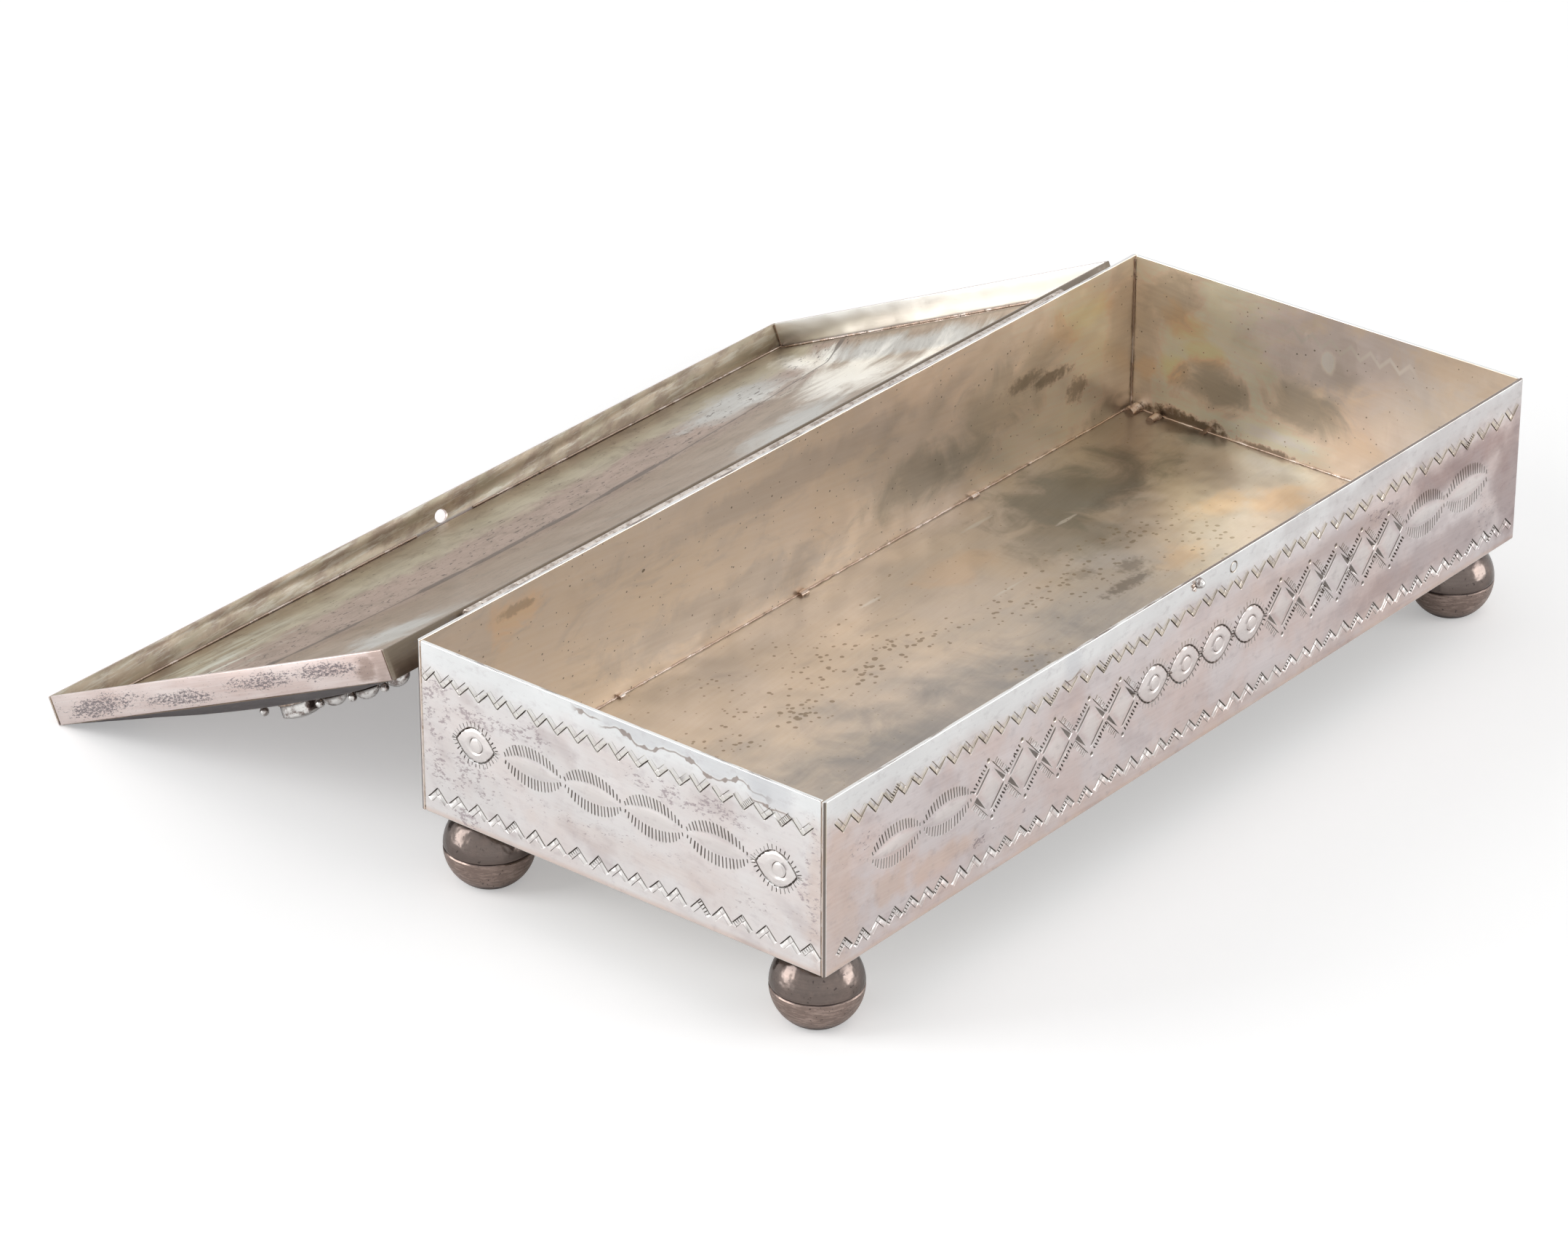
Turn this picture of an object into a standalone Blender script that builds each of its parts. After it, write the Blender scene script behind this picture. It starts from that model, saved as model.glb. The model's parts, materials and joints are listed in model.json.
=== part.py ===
"""Footed silver keepsake box with a hipped, crowned lid, modelled with the lid swung right open.

The box is a tray of soldered sheet on four hollow ball feet. The lid is a crowned panel in a
frame of flange strips. It turns on a pin behind the back wall, and its free edge lies on the
table. Metres, +Z up, +X along the box, the front wall towards -Y. The origin is on the table,
in the middle of the ground that the open box covers.
"""

import math

import bmesh
import bpy
from mathutils import Matrix, Vector

# Tray
BOX_LENGTH = 0.2400
BOX_WIDTH = 0.1040
WALL_HEIGHT = 0.0385
WALL_SHEET = 0.0008
FLOOR_SHEET = 0.0008
WALL_EDGE_ROUND = 0.0003
WALL_CORNER_ROUND = 0.0005
SOLDER_GAP = 0.0003

# Ball feet
FOOT_HEIGHT = 0.0165
FOOT_FLAT_CUT = 0.0016
FOOT_SEAT_CUT = 0.0009
FOOT_SHEET = 0.0007

# Lid
FLANGE_SHEET = 0.0008
FLANGE_HEIGHT = 0.0065
FLANGE_CORNER_ROUND = 0.0006
LID_SHEET = 0.0008
LID_END_CLEARANCE = 0.0004
LID_FRONT_CLEARANCE = 0.0010
LID_BACK_CLEARANCE = 0.0018
END_BEVEL_RUN = 0.0093
SIDE_BEVEL_RUN = 0.0218
BEVEL_RISE = 0.0039
LONG_CROWN = 0.0035
CROSS_CROWN = 0.0010

# Hinge
HINGE_BEHIND_WALL = 0.0050
HINGE_BELOW_RIM = 0.0045
KNUCKLE_RADIUS = 0.00125
PIN_RADIUS = 0.0006
PIN_CLEARANCE = 0.00012
PIN_OVERHANG = 0.0004
KNUCKLES_FROM_END = 0.0204
COLLAR_LENGTH = 0.0041
LID_KNUCKLE_LENGTH = 0.0107
RUNNING_GAP = 0.0003
HINGE_LEAF_HALF_HEIGHT = 0.0008
BEARER_SHEET = 0.0008
BEARER_LEG = 0.0060
BEARER_BEND_RADIUS = 0.0006
BEARER_OVERREACH = 0.0006

# Catch
BEAD_RADIUS = 0.0012
BEAD_PROUD = 0.0016
BEAD_BELOW_RIM = 0.00145
CATCH_HOLE_LENGTH = 0.0040
CATCH_HOLE_HEIGHT = 0.0030

# Ornaments on the lid: at each end a round boss, and a spray of drops and leaves to the hinge
BOSS_FROM_END = 0.0144
BOSS_OFF_MIDDLE = 0.0066
BOSS_RADIUS = 0.0043
BOSS_HEIGHT = 0.0028
BOSS_SHEET = 0.0005
BOSS_LIP = 0.0003
DOME_CROWN = 0.0008
SPRAY_FROM_END = 0.0120
SPRAY_PITCH = 0.0103
BOSS_TO_DROP = 0.0089
DROP_RADIUS = 0.0010
LEAF_LENGTH = 0.0080
LEAF_WIDTH = 0.0040
LEAF_HEIGHT = 0.0021
LEAVES_IN_SPRAY = 3

# Counts of straight steps in round shapes
EDGE_STEPS = 2
BALL_STEPS = 28
ARC_STEPS = 6
TUBE_SIDES = 16
SMALL_SIDES = 12
SMALL_RINGS = 8
BEND_STEPS = 3
PANEL_LONG_CELLS = 18
PANEL_CROSS_CELLS = 8

# How meshes are finished: an even round, what counts as one point or one place, and shading
EVEN_ROUND_SHARE = 0.5
MERGE_GAP = 0.00001
SAME_PLACE_SHARE = 0.0001
SHARP_FROM_DEGREES = 40

# Sizes that follow from those above
FOOT_RADIUS = (FOOT_HEIGHT + FOOT_FLAT_CUT + FOOT_SEAT_CUT) / 2
FOOT_CENTRE_HEIGHT = FOOT_RADIUS - FOOT_FLAT_CUT
RIM_HEIGHT = FOOT_HEIGHT + WALL_HEIGHT
AXIS_HEIGHT = RIM_HEIGHT - HINGE_BELOW_RIM
FOLD_ABOVE_AXIS = HINGE_BELOW_RIM + LID_SHEET
LID_BACK_FROM_AXIS = HINGE_BEHIND_WALL - LID_BACK_CLEARANCE - FLANGE_SHEET
LID_FRONT_FROM_AXIS = HINGE_BEHIND_WALL + BOX_WIDTH + LID_FRONT_CLEARANCE + FLANGE_SHEET
LID_DEPTH = LID_FRONT_FROM_AXIS - LID_BACK_FROM_AXIS
LID_LENGTH = BOX_LENGTH + 2 * (LID_END_CLEARANCE + FLANGE_SHEET)
LID_MIDDLE_FROM_AXIS = (LID_FRONT_FROM_AXIS + LID_BACK_FROM_AXIS) / 2
PANEL_INSET = FLANGE_SHEET + SOLDER_GAP
BORE_RADIUS = PIN_RADIUS + PIN_CLEARANCE


def open_angle():
    """Return how far the lid turns from shut until its free edge meets the table."""
    radius = math.hypot(LID_FRONT_FROM_AXIS, FOLD_ABOVE_AXIS)
    shut = math.atan2(FOLD_ABOVE_AXIS, -LID_FRONT_FROM_AXIS)
    return shut + math.asin(AXIS_HEIGHT / radius)


def open_reach():
    """Return how far behind the hinge axis the open lid's free flange reaches."""
    rim_drop = FOLD_ABOVE_AXIS - FLANGE_HEIGHT
    angle = math.atan2(rim_drop, -LID_FRONT_FROM_AXIS) - open_angle()
    return math.hypot(LID_FRONT_FROM_AXIS, rim_drop) * math.cos(angle)


OPEN_ANGLE = open_angle()
FRONT_EXTREME = -BOX_WIDTH / 2 - BEAD_PROUD
BACK_EXTREME = BOX_WIDTH / 2 + HINGE_BEHIND_WALL + open_reach()
BOX_MIDDLE_Y = -(FRONT_EXTREME + BACK_EXTREME) / 2
FRONT_FACE_Y = BOX_MIDDLE_Y - BOX_WIDTH / 2
BACK_FACE_Y = BOX_MIDDLE_Y + BOX_WIDTH / 2
AXIS_Y = BACK_FACE_Y + HINGE_BEHIND_WALL


# Scene

def clear_scene():
    """Remove every object that the scene holds."""
    for scene_object in list(bpy.data.objects):
        bpy.data.objects.remove(scene_object, do_unlink=True)


def make_collection(name):
    """Return a new collection linked to the scene."""
    collection = bpy.data.collections.new(name)
    bpy.context.scene.collection.children.link(collection)
    return collection


def make_silver(name, colour, roughness, metallic=1.0):
    """Return a Principled material of one tone of worn silver."""
    material = bpy.data.materials.new(name)
    material.use_nodes = True
    shader = material.node_tree.nodes["Principled BSDF"]
    shader.inputs["Base Color"].default_value = (*colour, 1.0)
    shader.inputs["Roughness"].default_value = roughness
    shader.inputs["Metallic"].default_value = metallic
    material.diffuse_color = (*colour, 1.0)
    return material


class Shop:
    """Adds finished pieces to the box's collection, each with its own material."""

    def __init__(self):
        self.pieces = make_collection("silver_box")
        self.guides = make_collection("silver_box_cutters")

    def add(self, name, data, tone, location=(0, 0, 0), rotation=(0, 0, 0), parent=None):
        """Add an object that shows data in a tone of silver, and return it."""
        piece = bpy.data.objects.new(name, data)
        data.materials.append(make_silver(name, *tone))
        piece.location = location
        piece.rotation_euler = rotation
        piece.parent = parent
        self.pieces.objects.link(piece)
        return piece

    def add_guide(self, name, data, location, rotation=(0, 0, 0), parent=None):
        """Add a cutter that never shows, and return it."""
        guide = bpy.data.objects.new(name, data)
        guide.location = location
        guide.rotation_euler = rotation
        guide.parent = parent
        guide.display_type = "WIRE"
        guide.hide_render = True
        self.guides.objects.link(guide)
        return guide


# Tones as colour and roughness
WALL_TONE = ((0.78, 0.74, 0.73), 0.34)
TRAY_TONE = ((0.72, 0.62, 0.48), 0.42)
FOOT_TONE = ((0.70, 0.64, 0.60), 0.22)
LID_TONE = ((0.58, 0.57, 0.50), 0.40)
FLANGE_TONE = ((0.76, 0.68, 0.65), 0.36)
HINGE_TONE = ((0.60, 0.56, 0.52), 0.38)
BRIGHT_TONE = ((0.84, 0.83, 0.82), 0.18)


# Shapes

def mesh_from(bm, name):
    """Write a bmesh to a new mesh with its faces pointing out, and return it."""
    bmesh.ops.recalc_face_normals(bm, faces=bm.faces)
    mesh = bpy.data.meshes.new(name)
    bm.to_mesh(mesh)
    bm.free()
    return mesh


def block(size):
    """Return a bmesh of a block of the given size round its origin."""
    bm = bmesh.new()
    bmesh.ops.create_cube(bm, size=1.0)
    bmesh.ops.scale(bm, vec=size, verts=bm.verts)
    return bm


def is_at(place, **wanted):
    """Tell whether a place has the wanted coordinates, as far as a mesh can hold them."""
    return all(
        math.isclose(getattr(place, name), value, rel_tol=SAME_PLACE_SHARE)
        for name, value in wanted.items()
    )


def round_edges(bm, radius, **wanted):
    """Round the edges of a bmesh that lie at the wanted coordinates."""
    edges = [edge for edge in bm.edges if all(is_at(vert.co, **wanted) for vert in edge.verts)]
    bmesh.ops.bevel(
        bm, geom=edges, offset=radius, segments=EDGE_STEPS, profile=EVEN_ROUND_SHARE, affect="EDGES"
    )


def round_outer_corners(bm, length, outer_y, radius):
    """Round the two upright outer edges of a strip that runs the full length of its frame."""
    for end in (-1, 1):
        round_edges(bm, radius, x=end * length / 2, y=outer_y)


def polyline_mesh(name, points):
    """Return a mesh of straight edges through points given as (radius, height)."""
    mesh = bpy.data.meshes.new(name)
    verts = [(radius, 0, height) for radius, height in points]
    edges = [(index, index + 1) for index in range(len(points) - 1)]
    mesh.from_pydata(verts, edges, [])
    return mesh


def add_turn(piece, steps):
    """Turn a profile all the way round its own vertical axis."""
    turn = piece.modifiers.new("Turn", "SCREW")
    turn.axis = "Z"
    turn.angle = 2 * math.pi
    turn.steps = steps
    turn.render_steps = steps
    turn.use_merge_vertices = True
    turn.merge_threshold = MERGE_GAP
    turn.use_smooth_shade = True
    return turn


def add_shell(piece, thickness):
    """Give an open surface a thickness on its inner side."""
    shell = piece.modifiers.new("Shell", "SOLIDIFY")
    shell.thickness = thickness
    shell.offset = -1.0
    shell.use_even_offset = True
    return shell


def add_smooth(piece):
    """Shade a piece smooth but for its sharp edges."""
    piece.data.shade_smooth()
    piece.data.set_sharp_from_angle(angle=math.radians(SHARP_FROM_DEGREES))


def arc(centre, radius, start, end, steps):
    """Return points on an arc, as (across, up), with both of its ends."""
    points = []
    for step in range(steps + 1):
        angle = start + (end - start) * step / steps
        points.append((centre[0] + radius * math.cos(angle), centre[1] + radius * math.sin(angle)))
    return points


def quarter_round(steps):
    """Return points from the top of a unit circle, on its axis, down to its side."""
    points = arc((0, 0), 1, math.pi / 2, 0, steps)
    return [(0, 1)] + points[1:-1] + [(1, 0)]


def outline_curve(name, outlines, thickness):
    """Return a flat curve filled between its outlines and made thick along its own Z."""
    curve = bpy.data.curves.new(name, "CURVE")
    curve.dimensions = "2D"
    curve.fill_mode = "BOTH"
    curve.extrude = thickness / 2
    for outline in outlines:
        spline = curve.splines.new("POLY")
        spline.points.add(len(outline) - 1)
        for point, (across, up) in zip(spline.points, outline):
            point.co = (across, up, 0, 1)
        spline.use_cyclic_u = True
    return curve


# Local X and Y of a flat curve laid across the box: X to +Y, Y to +Z, thickness along +X
ACROSS_THE_BOX = (math.pi / 2, 0, math.pi / 2)


# Tray

def make_long_wall(shop, name, side):
    """Make the front wall (side -1) or the back wall (side 1), which run the full length."""
    bm = block((BOX_LENGTH, WALL_SHEET, WALL_HEIGHT))
    outer_y = side * WALL_SHEET / 2
    round_outer_corners(bm, BOX_LENGTH, outer_y, WALL_CORNER_ROUND)
    round_edges(bm, WALL_EDGE_ROUND, y=outer_y, z=-WALL_HEIGHT / 2)
    centre_y = BOX_MIDDLE_Y + side * (BOX_WIDTH - WALL_SHEET) / 2
    centre = (0, centre_y, FOOT_HEIGHT + WALL_HEIGHT / 2)
    return shop.add(name, mesh_from(bm, name), WALL_TONE, centre)


def make_end_wall(shop, name, side):
    """Make an end wall, held between the long walls."""
    width = BOX_WIDTH - 2 * (WALL_SHEET + SOLDER_GAP)
    bm = block((WALL_SHEET, width, WALL_HEIGHT))
    round_edges(bm, WALL_EDGE_ROUND, x=side * WALL_SHEET / 2, z=-WALL_HEIGHT / 2)
    centre = (side * (BOX_LENGTH - WALL_SHEET) / 2, BOX_MIDDLE_Y, FOOT_HEIGHT + WALL_HEIGHT / 2)
    return shop.add(name, mesh_from(bm, name), WALL_TONE, centre)


def make_floor(shop):
    """Make the floor plate, soldered inside the foot of the walls."""
    margin = 2 * (WALL_SHEET + SOLDER_GAP)
    bm = block((BOX_LENGTH - margin, BOX_WIDTH - margin, FLOOR_SHEET))
    centre = (0, BOX_MIDDLE_Y, FOOT_HEIGHT + FLOOR_SHEET / 2)
    return shop.add("floor_plate", mesh_from(bm, "floor_plate"), TRAY_TONE, centre)


def make_tray(shop):
    """Make the floor and the four walls."""
    make_floor(shop)
    make_long_wall(shop, "front_wall", -1)
    make_long_wall(shop, "back_wall", 1)
    make_end_wall(shop, "left_end_wall", -1)
    make_end_wall(shop, "right_end_wall", 1)


# Feet

def make_foot(shop, name, across, along):
    """Make one hollow ball foot of two domes that meet at a seam round the middle."""
    place = (across, along, FOOT_CENTRE_HEIGHT)
    half_seam = SOLDER_GAP / 2
    seam_angle = math.asin(half_seam / FOOT_RADIUS)

    top = FOOT_HEIGHT - FOOT_CENTRE_HEIGHT - SOLDER_GAP
    top_angle = math.asin(top / FOOT_RADIUS)
    upper_profile = arc((0, 0), FOOT_RADIUS, top_angle, seam_angle, ARC_STEPS)
    upper_name = name + "_upper_dome"
    upper = shop.add(upper_name, polyline_mesh(upper_name, upper_profile), FOOT_TONE, place)
    add_turn(upper, BALL_STEPS)
    add_shell(upper, FOOT_SHEET)

    flat_angle = math.asin(FOOT_CENTRE_HEIGHT / FOOT_RADIUS)
    lower_profile = arc((0, 0), FOOT_RADIUS, -seam_angle, -flat_angle, ARC_STEPS)
    lower_profile.append((0, -FOOT_CENTRE_HEIGHT))
    lower_name = name + "_lower_dome"
    lower = shop.add(lower_name, polyline_mesh(lower_name, lower_profile), FOOT_TONE, place)
    add_turn(lower, BALL_STEPS)
    add_shell(lower, FOOT_SHEET)


def make_feet(shop):
    """Make a foot under each corner, its ball flush with both faces of the box."""
    along = BOX_LENGTH / 2 - FOOT_RADIUS
    across = BOX_WIDTH / 2 - FOOT_RADIUS
    for end_name, end in (("left", -1), ("right", 1)):
        for side_name, side in (("front", -1), ("back", 1)):
            name = f"foot_{side_name}_{end_name}"
            make_foot(shop, name, end * along, BOX_MIDDLE_Y + side * across)


# Catch

def make_catch_bead(shop):
    """Make the round bead on the front wall that the lid's front flange springs over."""
    height = BEAD_PROUD - SOLDER_GAP
    profile = [(BEAD_RADIUS * across, height * up) for across, up in quarter_round(BEND_STEPS)]
    profile.append((0, 0))
    place = (0, FRONT_FACE_Y - SOLDER_GAP, RIM_HEIGHT - BEAD_BELOW_RIM)
    mesh = polyline_mesh("catch_bead", profile)
    bead = shop.add("catch_bead", mesh, BRIGHT_TONE, place, (math.pi / 2, 0, 0))
    add_turn(bead, TUBE_SIDES)


# Hinge

def circle_outline(radius):
    """Return a regular outline of a tube or a bore."""
    return arc((0, 0), radius, 0, 2 * math.pi * (TUBE_SIDES - 1) / TUBE_SIDES, TUBE_SIDES - 1)


def make_tube(shop, name, start, end, outer, parent=None):
    """Make one hinge knuckle along X, with a bore for the pin."""
    centre = ((start + end) / 2, 0, 0)
    if parent is None:
        centre = ((start + end) / 2, AXIS_Y, AXIS_HEIGHT)
    curve = outline_curve(name, [outer, circle_outline(BORE_RADIUS)], end - start)
    return shop.add(name, curve, HINGE_TONE, centre, ACROSS_THE_BOX, parent)


def lid_knuckle_outline():
    """Return a knuckle's round outline that runs out into a leaf towards the lid's flange."""
    reach = LID_BACK_FROM_AXIS - SOLDER_GAP
    join = math.pi - math.asin(HINGE_LEAF_HALF_HEIGHT / KNUCKLE_RADIUS)
    outline = arc((0, 0), KNUCKLE_RADIUS, -join, join, TUBE_SIDES)
    outline.append((-reach, HINGE_LEAF_HALF_HEIGHT))
    outline.append((-reach, -HINGE_LEAF_HALF_HEIGHT))
    return outline


def knuckle_spans():
    """Return each knuckle's name, owner, start and end along the hinge."""
    first = -BOX_LENGTH / 2 + KNUCKLES_FROM_END
    collar = first + COLLAR_LENGTH
    lid_end = collar + LID_KNUCKLE_LENGTH
    half_gap = RUNNING_GAP / 2
    return [
        ("knuckle_left_collar", "box", first, collar - half_gap),
        ("knuckle_left_lid", "lid", collar + half_gap, lid_end - half_gap),
        ("knuckle_middle", "box", lid_end + half_gap, -lid_end - half_gap),
        ("knuckle_right_lid", "lid", -lid_end + half_gap, -collar - half_gap),
        ("knuckle_right_collar", "box", -collar + half_gap, -first),
    ]


def make_knuckles(shop, lid_axis):
    """Make the knuckles of the box and of the lid, in turn along the hinge."""
    for name, owner, start, end in knuckle_spans():
        if owner == "box":
            make_tube(shop, name, start, end, circle_outline(KNUCKLE_RADIUS))
        else:
            make_tube(shop, name, start, end, lid_knuckle_outline(), lid_axis)


def make_pin(shop):
    """Make the pin that runs through all the knuckles."""
    length = BOX_LENGTH - 2 * (KNUCKLES_FROM_END - PIN_OVERHANG)
    bm = bmesh.new()
    bmesh.ops.create_cone(
        bm, cap_ends=True, segments=TUBE_SIDES, radius1=PIN_RADIUS, radius2=PIN_RADIUS, depth=length
    )
    place = (0, AXIS_Y, AXIS_HEIGHT)
    pin = shop.add("hinge_pin", mesh_from(bm, "hinge_pin"), HINGE_TONE, place, (0, math.pi / 2, 0))
    add_smooth(pin)


def make_bearer(shop):
    """Make the bent strip on the back wall that carries the box's knuckles."""
    shelf_end = HINGE_BEHIND_WALL + BEARER_OVERREACH
    shelf_top = -KNUCKLE_RADIUS - SOLDER_GAP
    shelf_bottom = shelf_top - BEARER_SHEET
    leg_bottom = shelf_top - BEARER_LEG
    leg_outer = SOLDER_GAP + BEARER_SHEET
    outer_bend = BEARER_SHEET + BEARER_BEND_RADIUS
    outline = [(shelf_end, shelf_bottom), (shelf_end, shelf_top)]
    outer_centre = (SOLDER_GAP + outer_bend, shelf_top - outer_bend)
    outline += arc(outer_centre, outer_bend, math.pi / 2, math.pi, BEND_STEPS)
    outline += [(SOLDER_GAP, leg_bottom), (leg_outer, leg_bottom)]
    inner_centre = (leg_outer + BEARER_BEND_RADIUS, shelf_bottom - BEARER_BEND_RADIUS)
    outline += arc(inner_centre, BEARER_BEND_RADIUS, math.pi, math.pi / 2, BEND_STEPS)
    length = BOX_LENGTH - 2 * KNUCKLES_FROM_END
    curve = outline_curve("hinge_bearer", [outline], length)
    place = (0, BACK_FACE_Y, AXIS_HEIGHT)
    shop.add("hinge_bearer", curve, HINGE_TONE, place, ACROSS_THE_BOX)


def make_lid_axis(shop):
    """Make the empty on the hinge axis that carries the open lid."""
    lid_axis = bpy.data.objects.new("lid_axis", None)
    lid_axis.location = (0, AXIS_Y, AXIS_HEIGHT)
    lid_axis.rotation_euler = (-OPEN_ANGLE, 0, 0)
    shop.pieces.objects.link(lid_axis)
    return lid_axis


# Lid. Its pieces are placed from the hinge axis as they lie when the lid is shut.

def crown_height(along, across):
    """Return the height over the fold of the lid's crowned top, from the lid's middle."""
    half_long = LID_LENGTH / 2 - END_BEVEL_RUN
    half_cross = LID_DEPTH / 2 - SIDE_BEVEL_RUN
    long_share = min(abs(along), half_long) / half_long
    cross_share = min(abs(across), half_cross) / half_cross
    crown = LONG_CROWN * (1 - long_share ** 2) + CROSS_CROWN * (1 - cross_share ** 2)
    return BEVEL_RISE + crown


def lid_height(along, across):
    """Return the height over the fold of the lid's outside, bevels included."""
    end_share = (LID_LENGTH / 2 - abs(along)) / END_BEVEL_RUN
    side_share = (LID_DEPTH / 2 - abs(across)) / SIDE_BEVEL_RUN
    return crown_height(along, across) * min(1, end_share, side_share)


def panel_lines(half, bevel_run, first_lines, cells):
    """Return the grid lines from one edge of the panel to the other."""
    crease = half - bevel_run
    edge_lines = [-(half - line) for line in first_lines] + [-crease]
    inner = [-crease + 2 * crease * cell / cells for cell in range(1, cells)]
    return edge_lines + inner + [-line for line in reversed(edge_lines)]


def make_lid_panel(shop, lid_axis):
    """Make the lid's panel: a crowned top between bevels that are mitred at the corners."""
    mitre_start = PANEL_INSET * SIDE_BEVEL_RUN / END_BEVEL_RUN
    rows_x = panel_lines(LID_LENGTH / 2, END_BEVEL_RUN, [PANEL_INSET], PANEL_LONG_CELLS)
    rows_y = panel_lines(
        LID_DEPTH / 2, SIDE_BEVEL_RUN, [PANEL_INSET, mitre_start], PANEL_CROSS_CELLS
    )
    bm = bmesh.new()
    bmesh.ops.create_grid(bm, x_segments=len(rows_x) - 1, y_segments=len(rows_y) - 1, size=1.0)
    corners = {}
    for vert in bm.verts:
        column = round((vert.co.x + 1) / 2 * (len(rows_x) - 1))
        row = round((vert.co.y + 1) / 2 * (len(rows_y) - 1))
        along = rows_x[column]
        across = rows_y[row]
        vert.co = (along, across, lid_height(along, across))
        corners[column, row] = vert
    last_column = len(rows_x) - 1
    last_row = len(rows_y) - 1
    for edge_column, crease_column in ((0, 1), (last_column, last_column - 1)):
        for edge_row, crease_row in ((1, 2), (last_row - 1, last_row - 2)):
            ends = [corners[edge_column, edge_row], corners[crease_column, crease_row]]
            bmesh.ops.connect_verts(bm, verts=ends)
    mesh = mesh_from(bm, "lid_panel")
    place = (0, -LID_MIDDLE_FROM_AXIS, FOLD_ABOVE_AXIS)
    panel = shop.add("lid_panel", mesh, LID_TONE, place, (0, 0, 0), lid_axis)
    add_shell(panel, LID_SHEET)


def flange_centre_height():
    """Return the middle of the flange strips' height, from the hinge axis."""
    return FOLD_ABOVE_AXIS - FLANGE_HEIGHT / 2


def make_long_flange(shop, name, side, lid_axis):
    """Make the front (side -1) or back (side 1) flange strip, which runs the full length."""
    bm = block((LID_LENGTH, FLANGE_SHEET, FLANGE_HEIGHT))
    round_outer_corners(bm, LID_LENGTH, side * FLANGE_SHEET / 2, FLANGE_CORNER_ROUND)
    centre_y = side * (LID_DEPTH - FLANGE_SHEET) / 2 - LID_MIDDLE_FROM_AXIS
    place = (0, centre_y, flange_centre_height())
    return shop.add(name, mesh_from(bm, name), FLANGE_TONE, place, (0, 0, 0), lid_axis)


def make_end_flange(shop, name, side, lid_axis):
    """Make a short flange strip, held between the long ones."""
    depth = LID_DEPTH - 2 * (FLANGE_SHEET + SOLDER_GAP)
    bm = block((FLANGE_SHEET, depth, FLANGE_HEIGHT))
    along = side * (LID_LENGTH - FLANGE_SHEET) / 2
    place = (along, -LID_MIDDLE_FROM_AXIS, flange_centre_height())
    shop.add(name, mesh_from(bm, name), FLANGE_TONE, place, (0, 0, 0), lid_axis)


def cut_catch_hole(shop, flange, lid_axis):
    """Cut the oval hole that the catch bead enters when the lid is shut."""
    bm = bmesh.new()
    bmesh.ops.create_cone(
        bm, cap_ends=True, segments=2 * TUBE_SIDES, radius1=1.0, radius2=1.0, depth=2.0
    )
    half_size = (CATCH_HOLE_LENGTH / 2, CATCH_HOLE_HEIGHT / 2, FLANGE_SHEET)
    bmesh.ops.scale(bm, vec=half_size, verts=bm.verts)
    place = (0, -LID_FRONT_FROM_AXIS + FLANGE_SHEET / 2, HINGE_BELOW_RIM - BEAD_BELOW_RIM)
    mesh = mesh_from(bm, "catch_hole_cutter")
    cutter = shop.add_guide("catch_hole_cutter", mesh, place, (math.pi / 2, 0, 0), lid_axis)
    hole = flange.modifiers.new("Catch hole", "BOOLEAN")
    hole.operation = "DIFFERENCE"
    hole.solver = "EXACT"
    hole.object = cutter


def make_lid(shop, lid_axis):
    """Make the lid's panel, its flanges and the catch's hole."""
    make_lid_panel(shop, lid_axis)
    front = make_long_flange(shop, "lid_front_flange", -1, lid_axis)
    cut_catch_hole(shop, front, lid_axis)
    make_long_flange(shop, "lid_back_flange", 1, lid_axis)
    make_end_flange(shop, "lid_left_flange", -1, lid_axis)
    make_end_flange(shop, "lid_right_flange", 1, lid_axis)


# Ornaments

def seat_on_lid(along, across, lift):
    """Return the matrix that stands a piece on the lid's top, its X along the lid."""
    step = DROP_RADIUS
    slope_along = (lid_height(along + step, across) - lid_height(along - step, across)) / 2 / step
    slope_across = (lid_height(along, across + step) - lid_height(along, across - step)) / 2 / step
    normal = Vector((-slope_along, -slope_across, 1)).normalized()
    side = normal.cross(Vector((1, 0, 0))).normalized()
    turn = Matrix((side.cross(normal), side, normal)).transposed().to_4x4()
    foot = Vector((along, across - LID_MIDDLE_FROM_AXIS, FOLD_ABOVE_AXIS + lid_height(along, across)))
    return Matrix.Translation(foot + normal * lift) @ turn


def place_on_lid(piece, along, across, lift, turn=0):
    """Stand a piece on the lid by its location and rotation."""
    seat = seat_on_lid(along, across, lift) @ Matrix.Rotation(turn, 4, "Z")
    piece.location = seat.to_translation()
    piece.rotation_euler = seat.to_euler()


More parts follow.
